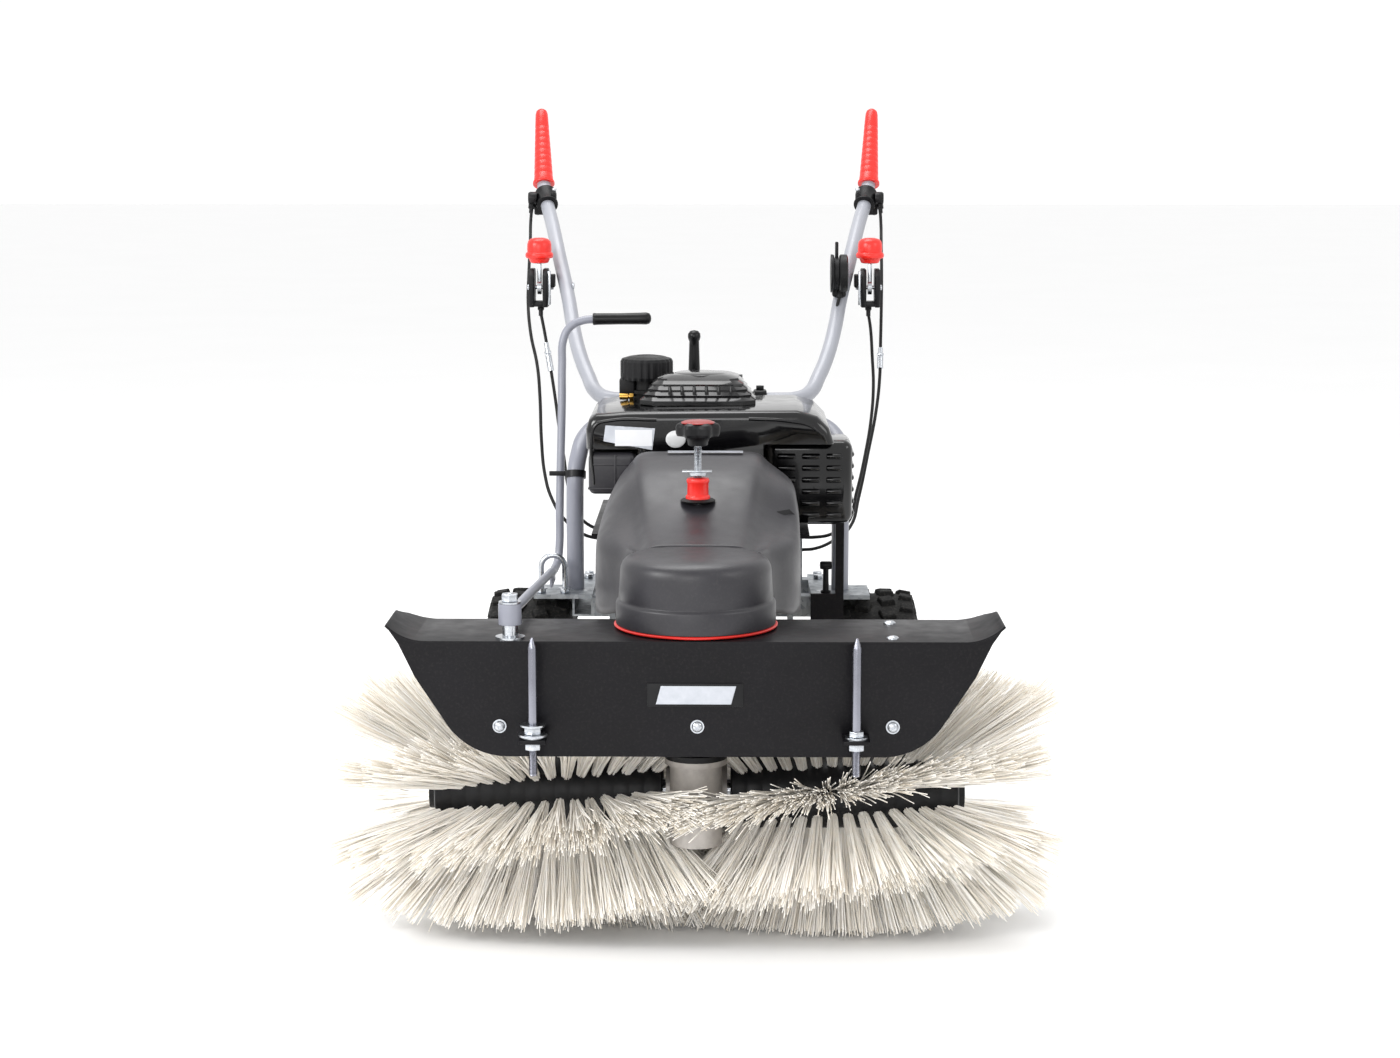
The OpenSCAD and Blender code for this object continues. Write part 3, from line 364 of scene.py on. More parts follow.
# Glass-filled nylon of levers, clamps and housings: black, matte, lightly speckled
PLAIN_BLACK = Finish("black_moulded_nylon", "#0c0c0e", "#161618", 14, 0.5, 0.44, 0.08, 0.9, 0.06, ior=1.53,
    specular=0.22)
# Dipped PVC sleeve: soft black with a low sheen
DIP_BLACK = Finish("dipped_pvc_sleeve", "#09090a", "#121214", 12, 0.5, 0.33, 0.06, 2.2, 0.05, ior=1.52, specular=0.25)
# Tyre rubber: matte, dusty black
TYRE_RUBBER = Finish("vulcanised_tyre_rubber", "#0f0f0f", "#1c1c1b", 18, 0.6, 0.78, 0.1, 1.0, 0.12, ior=1.52,
    dust=0.14, specular=0.2)
# Belt and cable jacket rubber: matte black
SOFT_BLACK = Finish("black_rubber_jacket", "#0b0b0c", "#151516", 10, 0.5, 0.55, 0.08, 0.8, 0.04, ior=1.52,
    specular=0.25)
# Silver-grey powder coat on steel tube: even, faintly pebbled, satin
BAR_SILVER = Finish("silver_powder_coat", "#8f9198", "#85878f", 50, 0.5, 0.38, 0.05, 0.7, 0.04, coat=0.25,
    coat_rough=0.3)
# Darker grey powder coat of the swivel rod and posts
POST_GREY = Finish("grey_powder_coat", "#7f818b", "#757782", 50, 0.5, 0.40, 0.05, 0.7, 0.04, coat=0.25, coat_rough=0.3)
# Bright zinc plating on bolts, pins and washers
ZINC = ZincPlate("bright_zinc_plate", "#c5c8cc", "#aeb2b8", rough=0.28, rough_spread=0.08, grain_mm=0.6,
                 grain_depth_mm=0.03, metal=1.0, spangle_mm=2.0)
# Galvanised steel of the chassis rails: blotchy crystals, duller than plating
GALVANISED = ZincPlate("galvanised_steel", "#a9adb1", "#7f8489", rough=0.45, rough_spread=0.12, grain_mm=1.2,
                       grain_depth_mm=0.06, metal=0.9, spangle_mm=7.0)
# Ground steel of the guide pins, passivated: smooth, darker than the bolts
PIN_STEEL = Finish("passivated_pin_steel", "#8f9099", "#7d7e88", 30, 0.6, 0.24, 0.06, 2.5, 0.02, metal=1.0)
# Bright turned steel of shafts and the height spindle
BRIGHT_STEEL = Turned("turned_steel", "#b4b6b9", "#96999d", 20, 0.5, 0.25, 0.07, metal=1.0, pitch_mm=1.5)
# Grey die-cast aluminium of the gearbox and the crankcase: grainy skin of the casting
CAST_GREY = Finish("die_cast_aluminium", "#b3aea9", "#948f8b", 16, 0.6, 0.52, 0.1, 1.4, 0.14, metal=0.55)
# Scarlet moulded polypropylene of grips and knobs: strong colour, half gloss
SCARLET = Finish("scarlet_moulded_plastic", "#e2241b", "#cf1c14", 24, 0.5, 0.33, 0.06, 1.1, 0.03, ior=1.5)
# Red PVC edging of the drum
EDGE_RED = Finish("red_pvc_edging", "#c9261f", "#ab1b16", 20, 0.5, 0.45, 0.06, 1.0, 0.04, ior=1.52)
# Cream polypropylene strand
BRISTLE = Strand("cream_polypropylene_bristle", "#fffdf9", "#fbf4e8", 9, 0.6, 0.42, 0.08, 0.6, 0.03, ior=1.49)
# Pale wheel paint
RIM_WHITE = Finish("pale_rim_enamel", "#c9cacb", "#bbbcbd", 40, 0.5, 0.32, 0.05, 1.0, 0.04, coat=0.4, dust=0.15)
# Heat-stained muffler steel: brown-grey blotches
HOT_STEEL = Finish("heat_stained_steel", "#4a443e", "#6a5a4c", 22, 0.8, 0.6, 0.1, 1.5, 0.1, metal=0.7)
# Brass of the spindle nut and the fuel fittings
BRASS = Turned("turned_brass", "#b9924a", "#a5803c", 20, 0.5, 0.3, 0.06, metal=1.0, pitch_mm=1.5)
# Brushed aluminium foil of the blank name plates
PLATE_SILVER = Turned("brushed_aluminium_plate", "#b9bcc2", "#a2a6ae", 12, 0.5, 0.34, 0.05, metal=0.85,
                      along=Along.Z, pitch_mm=0.9)
# White polyester film of a blank label
LABEL_WHITE = Finish("white_polyester_label", "#dcdde0", "#d0d1d5", 30, 0.5, 0.35, 0.05, 2.0, 0.02, coat=0.3)
# Dark red moulded cap of the star knob
CAP_RED = Finish("dark_red_moulded_cap", "#8e1f1c", "#7a1714", 12, 0.5, 0.3, 0.05, 1.0, 0.03)
# Studio floor: painted board, nearly white, matte
FLOOR_WHITE = Finish("pale_painted_board", "#f7f7f7", "#f4f4f4", 600, 0.4, 0.7, 0.03, 3.0, 0.02)


# ---------- making a piece ----------

class Shape:
    """A mesh under construction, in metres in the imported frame."""

    def __init__(self) -> None:
        """Starts with an empty mesh."""
        self.bm = bmesh.new()

    def lathe(self, outline: Sequence[tuple[float, float]], foot: Vector, along: Any = Along.Z,
            steps: int = 48) -> "Shape":
        """Turns an outline round an axis.

        Args:
            outline: radius and height pairs in millimetres, from the foot up.
            foot: point on the axis where the height is nought.
            along: direction of the axis, one of Along or a vector.
            steps: number of steps in a full turn.

        Returns:
            This shape.
        """
        part = bmesh.new()
        dots = [part.verts.new((r * MM, 0, h * MM)) for r, h in outline]
        lines = [part.edges.new(pair) for pair in zip(dots, dots[1:])]
        bmesh.ops.spin(part, geom=dots + lines, angle=math.tau, steps=steps, axis=(0, 0, 1), cent=(0, 0, 0),
            use_merge=True)
        bmesh.ops.remove_doubles(part, verts=part.verts, dist=1e-6)
        open_ends = [e for e in part.edges if e.is_boundary]
        if open_ends:
            bmesh.ops.holes_fill(part, edges=open_ends)
        turn = TURN[along] if isinstance(along, Along) else Vector((0, 0,
            1)).rotation_difference(along).to_matrix().to_4x4()
        return self.take(part, Matrix.Translation(foot) @ turn)

    def block(self, low: Vector, high: Vector, round_mm: float = 0.0, segments: int = 2) -> "Shape":
        """Adds a box with rounded edges.

        Args:
            low: lowest corner.
            high: highest corner.
            round_mm: radius of the edges in millimetres.
            segments: segments across a rounded edge.

        Returns:
            This shape.
        """
        part = bmesh.new()
        bmesh.ops.create_cube(part, size=1.0)
        bmesh.ops.scale(part, vec=high - low, verts=part.verts)
        bmesh.ops.translate(part, vec=(low + high) / 2, verts=part.verts)
        if round_mm:
            bmesh.ops.bevel(part, geom=part.edges[:], offset=round_mm * MM, segments=segments, affect="EDGES",
                profile=0.5, material=-1)
        return self.take(part)

    def slab(self, outline: Sequence[Vector], push: Vector, round_mm: float = 0.0, segments: int = 2) -> "Shape":
        """Pushes a flat outline into a solid.

        Args:
            outline: corners of the flat outline, in order.
            push: vector from the first face to the second.
            round_mm: radius of all edges in millimetres.
            segments: segments across a rounded edge.

        Returns:
            This shape.
        """
        part = bmesh.new()
        face = part.faces.new([part.verts.new(p) for p in outline])
        grown = bmesh.ops.extrude_face_region(part, geom=[face])
        bmesh.ops.translate(part, vec=push, verts=[v for v in grown["geom"] if isinstance(v, bmesh.types.BMVert)])
        bmesh.ops.recalc_face_normals(part, faces=part.faces)
        if round_mm:
            sharp = [e for e in part.edges if len(e.link_faces) == 2 and e.calc_face_angle() > 0.35]
            bmesh.ops.bevel(part, geom=sharp, offset=round_mm * MM, segments=segments, affect="EDGES", profile=0.5,
                            clamp_overlap=True, material=-1)
        return self.take(part)

    def ball(self, centre: Vector, radius_mm: float, squash: Vector = Vector((1, 1, 1))) -> "Shape":
        """Adds a ball.

        Args:
            centre: its middle.
            radius_mm: its radius in millimetres.
            squash: scale along X, Y and Z.

        Returns:
            This shape.
        """
        part = bmesh.new()
        bmesh.ops.create_uvsphere(part, u_segments=28, v_segments=16, radius=radius_mm * MM)
        bmesh.ops.scale(part, vec=squash, verts=part.verts)
        return self.take(part, Matrix.Translation(centre))

    def hex_head(self, foot: Vector, across_mm: float, high_mm: float, along: Any = Along.Z) -> "Shape":
        """Adds a hexagonal bolt head or nut with chamfered corners.

        Args:
            foot: middle of its foot.
            across_mm: width over the corners.
            high_mm: height.
            along: direction of its axis.

        Returns:
            This shape.
        """
        part = bmesh.new()
        bmesh.ops.create_cone(part, cap_ends=True, segments=6, radius1=across_mm / 2 * MM, radius2=across_mm / 2 * MM,
                              depth=high_mm * MM)
        bmesh.ops.bevel(part, geom=part.edges[:], offset=0.7 * MM, segments=2, affect="EDGES", profile=0.5, material=-1)
        turn = TURN[along] if isinstance(along, Along) else Vector((0, 0,
            1)).rotation_difference(along).to_matrix().to_4x4()
        return self.take(part, Matrix.Translation(foot) @ turn @ Matrix.Translation((0, 0, high_mm / 2 * MM)))

    def tube(self, path: Sequence[Vector], radius_mm: float, smooth: bool = True, sides: int = 5) -> "Shape":
        """Adds a round tube along a path.

        Args:
            path: points on its middle line.
            radius_mm: outer radius in millimetres.
            smooth: True for a flowing line through the points, False for straight stretches.
            sides: bevel resolution of the curve.

        Returns:
            This shape.
        """
        line = bpy.data.curves.new("line", "CURVE")
        line.dimensions = "3D"
        line.bevel_depth = radius_mm * MM
        line.bevel_resolution = sides
        line.resolution_u = 6
        line.use_fill_caps = True
        run = line.splines.new("BEZIER" if smooth else "POLY")
        if smooth:
            run.bezier_points.add(len(path) - 1)
            for knot, p in zip(run.bezier_points, path):
                knot.co = p
                knot.handle_left_type = knot.handle_right_type = "AUTO"
        else:
            run.points.add(len(path) - 1)
            for knot, p in zip(run.points, path):
                knot.co = (*p, 1)
        holder = bpy.data.objects.new("line", line)
        bpy.context.scene.collection.objects.link(holder)
        drawn = bpy.data.meshes.new_from_object(holder.evaluated_get(bpy.context.evaluated_depsgraph_get()))
        part = bmesh.new()
        part.from_mesh(drawn)
        bmesh.ops.remove_doubles(part, verts=part.verts, dist=1e-6)
        bmesh.ops.recalc_face_normals(part, faces=part.faces)
        bpy.data.objects.remove(holder)
        bpy.data.curves.remove(line)
        bpy.data.meshes.remove(drawn)
        return self.take(part)

    def take(self, part: bmesh.types.BMesh, matrix: Optional[Matrix] = None) -> "Shape":
        """Adds another mesh to this one and frees it.

        Args:
            part: the mesh to add.
            matrix: where it goes.

        Returns:
            This shape.
        """
        if matrix is not None:
            bmesh.ops.transform(part, matrix=matrix, verts=part.verts)
            if matrix.determinant() < 0:
                bmesh.ops.reverse_faces(part, faces=part.faces)
        bmesh.ops.recalc_face_normals(part, faces=part.faces)
        step = bpy.data.meshes.new("step")
        part.to_mesh(step)
        part.free()
        self.bm.from_mesh(step)
        bpy.data.meshes.remove(step)
        return self

    def both_sides(self) -> "Shape":
        """Adds a mirror image across the middle of the machine.

        Returns:
            This shape.
        """
        copy = self.bm.copy()
        bmesh.ops.transform(copy, matrix=Matrix.Scale(-1, 4, (1, 0, 0)), verts=copy.verts)
        bmesh.ops.reverse_faces(copy, faces=copy.faces)
        step = bpy.data.meshes.new("step")
        copy.to_mesh(step)
        copy.free()
        self.bm.from_mesh(step)
        bpy.data.meshes.remove(step)
        return self

    def done(
        self, name: str, finish: Finish, body: str, slot: str, instead_of: Sequence[str] = (), crease: float = 32.0,
        subdivide: int = 0,
    ) -> bpy.types.Object:
        """Makes the piece: object, material and body.

        Args:
            name: name of the piece.
            finish: what it is made of.
            body: moving body that carries it.
            slot: the record's material slot; not used.
            instead_of: nodes that it stands for.
            crease: angle in degrees above which an edge stays sharp.
            subdivide: levels of subdivision.

        Returns:
            The object.
        """
        mesh = bpy.data.meshes.new(name)
        self.bm.to_mesh(mesh)
        self.bm.free()
        mesh.polygons.foreach_set("use_smooth", [True] * len(mesh.polygons))
        if not subdivide:
            mesh.set_sharp_from_angle(angle=math.radians(crease))
        piece = bpy.data.objects.new(name, mesh)
        bpy.context.scene.collection.objects.link(piece)
        piece.data.materials.append(finish.material())
        if subdivide:
            rounder = piece.modifiers.new("rounder", "SUBSURF")
            rounder.levels = rounder.render_levels = subdivide
        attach(piece, body)
        if instead_of:
            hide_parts(*instead_of)
        LOG.info("made %s: %d faces", name, len(mesh.polygons))
        return piece


def dress(finish: Finish, *nodes: str) -> None:
    """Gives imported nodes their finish.

    Args:
        finish: the finish.
        nodes: names of the nodes.
    """
    for name in nodes:
        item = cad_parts[name]
        for slot in item.material_slots:
            slot.material = finish.material()
        if not item.material_slots:
            item.data.materials.append(finish.material())
        LOG.info("dressed %s in %s", name, finish.title)


# ---------- the machine ----------

@dataclass
class Brush:
    """The two bristle halves with their cores, shaft and gearbox.

    Attributes:
        core_mm: radius of a core.
        core_ends: inner and outer end of a core from the middle.
        tip_mm: shortest and longest reach of a strand from the shaft.
        rows: rows of tufts round a core.
        columns: tufts along a core.
        strands: strands in a tuft.
        base_mm: radius of a tuft where it leaves the core.
        shaft_z: height of the shaft.
        twist: how far a row winds round its core, in radians.
        start: where the first row of the left and right half begins, in radians from straight up.
    """

    core_mm: float = 46.0
    core_ends: tuple[float, float] = (44.0, 323.0)
    tip_mm: tuple[float, float] = (168.0, 181.0)
    rows: int = 8
    columns: int = 15
    strands: int = 84
    base_mm: float = 5.8
    shaft_z: float = 176.0
    twist: float = 0.55
    start: tuple[float, float] = (1.21, 1.56)

    def strand(self, part: bmesh.types.BMesh, reach: float, lean: float, swing: float, dice: random.Random) -> None:
        """Adds one flat, slightly crooked strand that grows along +Z from the origin.

        Args:
            part: mesh that takes it.
            reach: its length in millimetres.
            lean: how far its tip strays along X.
            swing: how far its tip strays along Y.
            dice: source of chance.
        """
        one = bmesh.new()
        bmesh.ops.create_circle(one, cap_ends=True, segments=4, radius=0.85 * MM)
        bmesh.ops.scale(one, vec=(1.0, 0.75, 1.0), verts=one.verts)
        bmesh.ops.rotate(one, cent=(0, 0, 0), matrix=Matrix.Rotation(dice.uniform(0, math.pi), 3, "Z"), verts=one.verts)
        face = one.faces[:]
        bend = dice.uniform(-1.6, 1.6)
        steps = (0.3, 0.65, 1.0)
        before = 0.0
        for step in steps:
            grown = bmesh.ops.extrude_face_region(one, geom=face)
            face = [g for g in grown["geom"] if isinstance(g, bmesh.types.BMFace)]
            dots = [g for g in grown["geom"] if isinstance(g, bmesh.types.BMVert)]
            part_way = step ** 1.35 - before ** 1.35
            wave = bend * (math.sin(step * 3.1) - math.sin(before * 3.1))
            bmesh.ops.translate(one, verts=dots, vec=Vector((
                (lean * part_way + wave) * MM, (swing * part_way - wave) * MM, reach * (step - before) * MM)))
            before = step
        bmesh.ops.scale(one, vec=(0.8, 0.8, 1.0), verts=[v for f in face for v in f.verts],
                        space=Matrix.Translation(-face[0].calc_center_median()))
        bmesh.ops.recalc_face_normals(one, faces=one.faces)
        tint = one.verts.layers.float.new("strand_tint")
        shade = dice.choice((0.0, 0.0, 0.08, 0.15, 0.3, 0.5))
        for v in one.verts:
            v[tint] = shade * (0.4 + 0.6 * min(1.0, v.co.z / (reach * MM)))
        step_mesh = bpy.data.meshes.new("step")
        one.to_mesh(step_mesh)
        one.free()
        part.from_mesh(step_mesh)
        bpy.data.meshes.remove(step_mesh)

    def tufts(self, dice: random.Random) -> list[bpy.types.Mesh]:
        """Makes a few different tufts that all the others are copies of.

        Args:
            dice: source of chance.

        Returns:
            Meshes of tufts that grow along +Z from the origin.
        """
        kinds = []
        for number in range(12):
            tuft = bmesh.new()
            for _ in range(self.strands):
                angle, spread = dice.uniform(0, math.tau), dice.uniform(0, 1) ** 0.5
                aside, ahead = spread * math.cos(angle), spread * math.sin(angle)
                length = dice.uniform(*self.tip_mm) - self.core_mm + 4
                stray = 3.0 if dice.random() < 0.09 else 1.0
                one = bmesh.new()
                self.strand(one, length, aside * 9 + dice.gauss(0, 4.2) * stray, ahead * 13 + dice.gauss(0,
                    5.5) * stray, dice)
                bmesh.ops.translate(one, vec=(self.base_mm * aside * MM, self.base_mm * ahead * MM, 0), verts=one.verts)
                keep = bpy.data.meshes.new("step")
                one.to_mesh(keep)
                one.free()
                tuft.from_mesh(keep)
                bpy.data.meshes.remove(keep)
            kind = bpy.data.meshes.new(f"tuft_kind_{number}")
            tuft.to_mesh(kind)
            tuft.free()
            kinds.append(kind)
        return kinds

    def half(self, side: int, kinds: Sequence[bpy.types.Mesh], dice: random.Random, part_name: str,
            rows: Sequence[int]) -> Shape:
        """Plants the tufts of some rows on one core.

        Args:
            side: -1 for the left half, 1 for the right.
            kinds: the tufts to copy.
            dice: source of chance.
            part_name: name for the log.
            rows: numbers of the rows.

        Returns:
            The planted shape, in its place.
        """
        shape = Shape()
        inner, outer = self.core_ends
        for row in rows:
            belt = bmesh.new()
            for column in range(self.columns):
                along = inner + 7 + (outer - inner - 14) * (column + (0.4 if row % 2 else 0.0)) / (self.columns - 0.6)
                share = (along - inner) / (outer - inner)
                lean = -33 * max(0.0, 1 - share / 0.5) ** 1.15 + 58 * max(0.0, (share - 0.42) / 0.58) ** 1.25
                lean += dice.gauss(0, 1.3)
                wound = self.twist * (side * share + (1 if side < 0 else 0))
                turn = math.tau * row / self.rows + self.start[side > 0] - wound + dice.uniform(-0.03, 0.03)
                one = bmesh.new()
                one.from_mesh(dice.choice(kinds))
                reach = 1.0 / math.cos(math.radians(lean)) ** 0.3
                matrix = (
                    Matrix.Translation(at(side * along, 0, self.shaft_z))
                    @ Matrix.Rotation(turn, 4, "X")
                    @ Matrix.Translation((0, 0, (self.core_mm - 4) * MM))
                    @ Matrix.Rotation(math.radians(side * lean), 4, "Y")
                    @ Matrix.Rotation(dice.choice((0, math.pi)) + dice.uniform(-0.3, 0.3), 4, "Z")
                    @ Matrix.Diagonal((1, 1, reach, 1))
                )
                bmesh.ops.transform(one, matrix=matrix, verts=one.verts)
                step = bpy.data.meshes.new("step")
                one.to_mesh(step)
                one.free()
                belt.from_mesh(step)
                bpy.data.meshes.remove(step)
            for v in belt.verts:
                over = abs(v.co.x) - 0.44
                if over > 0:
                    v.co.x = math.copysign(0.44 + 0.6 * over, v.co.x)
                if v.co.z < 0.0012:
                    v.co.z = 0.0012 + dice.random() * 0.002
            step = bpy.data.meshes.new("step")
            belt.to_mesh(step)
            belt.free()
            shape.bm.from_mesh(step)
            bpy.data.meshes.remove(step)
        LOG.info("planted %s", part_name)
        return shape

    def core(self, side: int) -> Shape:
        """Turns one core with a low collar round each row of tufts.

        Args:
            side: -1 for the left half, 1 for the right.

        Returns:
            The core's shape.
        """
        inner, outer = self.core_ends
        outline = [(0, 42.2), (43, 42.2), (45.6, 44)]
        rings = self.columns
        for ring in range(rings):
            h = inner + 7 + (outer - inner - 14) * (ring + 0.2) / (rings - 0.6)
            outline += [(45.6, h - 8.0), (46.1, h - 6.6), (46.1, h + 6.6), (45.6, h + 8.0)]
        outline += [(45.6, outer), (43, outer + 1.8), (24, outer + 1.8), (22, 333.6), (0, 334.2)]
        return Shape().lathe(outline, at(0, 0, self.shaft_z), Vector((side, 0, 0)), 40)

    def build(self) -> None:
        """Makes the brush's pieces and dresses its shaft and gearbox."""
        dice = random.Random(41)
        kinds = self.tufts(dice)
        for side, word, node in ((-1, "left", "bristles_left"), (1, "right", "bristles_right")):
            for number, rows in enumerate((range(0, 3), range(3, 6), range(6, self.rows))):
                name = f"bristles_{word}_{number + 1}"
                shape = self.half(side, kinds, dice, name, rows)
                shape.done(name, BRISTLE, "brush", "bristle", [node] if number == 0 else [], crease=80)
        for kind in kinds:
            bpy.data.meshes.remove(kind)
        cores = self.core(1)
        cores.both_sides()
        cores.done("brush_core_sleeves", PLAIN_BLACK, "brush", "black_plastic", ["brush_cores"], crease=40)
        dress(BRIGHT_STEEL, "brush_shaft", "input_shaft", "driven_pulley", "transmission_pulley", "crankshaft")
        dress(CAST_GREY, "gearbox_housing")
        dress(PLAIN_BLACK, "swivel_tube")
        bolts = Shape()
        for number in range(6):
            a = math.radians(60 * number + 30)
            for side in (-1, 1):
                bolts.hex_head(at(side * 24, 52 * math.cos(a), self.shaft_z + 52 * math.sin(a)), 9, 4.5,
                    Vector((side, 0, 0)))
        for number in range(4):
            a = math.radians(90 * number + 45)
            bolts.hex_head(at(34 * math.cos(a), -68 + 34 * math.sin(a), 243), 7, 4)
        bolts.done("gearbox_bolts", ZINC, "head", "zinc_steel")


@dataclass
class Hood:
    """The pressed hood over the brush with its fasteners, guide pins and blank plate.

    Attributes:
        front: distance of the front panel from the shaft.
        top: height of the flat top.
        half: half-width at the ear tips.
        low: height of the lower edge.
    """

    front: float = -168.0
    top: float = 399.0
    half: float = 364.0
    low: float = 260.0

    def arc(self, cx: float, cz: float, r: float, start: float, end: float, steps: int) -> list[tuple[float, float]]:
        """Points of an arc, measured from straight down.

        Args:
            cx: middle along X.
            cz: middle along Z.
            r: radius.
            start: first angle in degrees.
            end: last angle in degrees.
            steps: number of steps.

        Returns:
            Pairs of X and Z in millimetres.
        """
        turns = [math.radians(start + (end - start) * i / steps) for i in range(steps + 1)]
        return [(cx + r * math.sin(t), cz - r * math.cos(t)) for t in turns]

    def sheet(self) -> None:
        """Makes the hood's pressed sheet: top with upturned ears, front panel and rear lip."""
        ear = self.half - 64 * math.sin(math.radians(46))
        top_line = self.arc(ear, self.top + 64, 64, 46, 0, 14)
        under_line = self.arc(ear, self.top + 64, 67, 46, 0, 14)
        right = [at(x, self.front + 0.4, z) for x, z in top_line]
        left = [at(-x, self.front + 0.4, z) for x, z in reversed(top_line)]
        right_under = [at(x, self.front + 0.4, z) for x, z in reversed(under_line)]
        left_under = [at(-x, self.front + 0.4, z) for x, z in under_line]
        shape = Shape()
        shape.slab(right + left + left_under + right_under, Vector((0, 0.1444, 0)), 1.1, 3)
        for side in (-1, 1):
            for turn, back in ((20, 24), (42, 16), (66, 12)):
                a = math.radians(turn)
                corner = at(side * (self.half - 36 * (1 - math.cos(a)) - back * 0.2),
                    self.front + 144.8 - 36 * (1 - math.sin(a)) - back * 0.2, 0)
                cut = bmesh.ops.bisect_plane(
                    shape.bm, geom=shape.bm.verts[:] + shape.bm.edges[:] + shape.bm.faces[:], dist=1e-6,
                    plane_co=corner, plane_no=Vector((side * math.cos(a), math.sin(a), 0)), clear_outer=True)
                rim = [g for g in cut["geom_cut"] if isinstance(g, bmesh.types.BMEdge)]
                bmesh.ops.holes_fill(shape.bm, edges=rim, sides=0)
        low_line = self.arc(222, self.low + 86, 86, 0, 54, 14) + [(331, 356), (350, 396)]
        crest = self.arc(ear, self.top + 64, 65.5, 44, 0, 12)
        half_front = low_line + crest
        face = [at(x, self.front, z) for x, z in half_front] + [at(-x, self.front, z) for x, z in reversed(half_front)]
        shape.slab(face, Vector((0, 0.003, 0)), 0.8, 2)
        shape.block(at(-ear, -26.8, 381), at(ear, -24, 398), 0.8)
        for side in (-1, 1):
            shape.block(at(side * 190 - 16, self.front - 38, 283), at(side * 190 + 16, self.front + 1, 288), 1.2)
        shape.done("hood_sheet", HOOD_BLACK, "head", "black_paint", ["brush_hood"], crease=28)

    def fasteners(self) -> None:
        """Makes the dome bolts, carriage bolts, guide pins with nuts and washers, and the link's bolt."""
        small = Shape()
        dome = [(0, 0), (8.2, 0), (8.2, 1.4), (6.6, 1.4), (6.2, 3.2), (4.4, 4.9), (2.0, 5.5), (2.0, 4.2), (0, 4.2)]
        for x in (-231, 3, 234):
            small.lathe(dome, at(x, self.front, 297), Vector((0, -1, 0)), 28)
        for x, y in ((234, self.front + 22), (236, self.front + 118)):
            small.lathe([(0, 0), (7.6, 0), (7.4, 1.2), (5.6, 2.8), (2.5, 3.6), (0, 3.8)], at(x, y, self.top), Along.Z,
                28)
        for side in (-1, 1):
            foot = at(side * 190, self.front - 22, 0)
            up = lambda h: foot + Vector((0, 0, h * MM))
            small.lathe([(5.6, 0), (13.2, 0), (13.2, 2.4), (5.6, 2.4)], up(288), Along.Z, 36)
            small.hex_head(up(274), 20, 8.8)
            if side < 0:
                small.lathe([(5.6, 0), (17, 0), (17, 2.4), (5.6, 2.4)], up(290.5), Along.Z, 40)
                small.hex_head(up(293), 22, 9)
                small.lathe([(5.6, 0), (15, 0), (15, 2.2), (5.6, 2.2)], up(302.2), Along.Z, 36)
            else:
                small.hex_head(up(290.6), 19, 6.5)
        small.done("hood_small_hardware", ZINC, "head", "zinc_steel", ["hood_fasteners"], crease=35)
        pins = Shape()
        for side in (-1, 1):
            seat = 304.5 if side < 0 else 290.5
            thread = [(0, 242), (3.6, 242), (4.9, 243.4)]
            height = 244.0
            while height < seat - 1.6:
                thread += [(4.6, height), (5.15, height + 0.8)]
                height += 1.6
            pins.lathe(thread + [(5.1, seat), (5.5, seat + 0.3), (5.5, 395), (5.0, 397), (1.4, 407.4), (0, 408)],
                       at(side * 190, self.front - 22, 0), Along.Z, 24)
        pins.done("guide_pin_rods", PIN_STEEL, "head", "zinc_steel", ["guide_pins"], crease=25)
        link = Shape()
        link.lathe([(7, 0), (17.5, 0), (17.5, 2.6), (7, 2.6)], at(-219, -148, 399), Along.Z, 40)
        link.lathe([(0, 2.6), (9.4, 2.6), (9.4, 16), (7, 16.4), (7, 42), (0, 42)], at(-219, -148, 399), Along.Z, 36)
        link.lathe([(6, 0), (13.2, 0), (13.2, 2), (6, 2)], at(-219, -148, 441.4), Along.Z, 36)
        link.hex_head(at(-219, -148, 443.6), 21, 9)
        link.lathe([(0, 0), (4.4, 0), (4.4, 2.4), (3.6, 3.0), (0, 3.0)], at(-219, -148, 450.5), Along.Z, 24)
        link.hex_head(at(-219, -148, 386.4), 22, 9.4)
        link.done("link_bolt_stack", ZINC, "head", "zinc_steel", ["link_pivot"], crease=35)

    def plate(self) -> None:
        """Makes the blank name plate: a black surround with a slanted silver field."""
        y = self.front
        Shape().block(at(-56, y - 1.1, 321), at(57, y - 0.1, 349), 0.4).done(
            "name_plate_surround", PLAIN_BLACK, "head", "black_plastic")
        field_ = [at(-46, y - 1.2, 324), at(43, y - 1.2, 324), at(49, y - 1.2, 346), at(-40, y - 1.2, 346)]
        Shape().slab(field_, Vector((0, -0.0006, 0)), 0.2, 1).done(
            "name_plate_blank_field", PLATE_SILVER, "head", "zinc_steel")

    def build(self) -> None:
        """Makes the hood's pieces."""
        self.sheet()
        self.fasteners()
        self.plate()


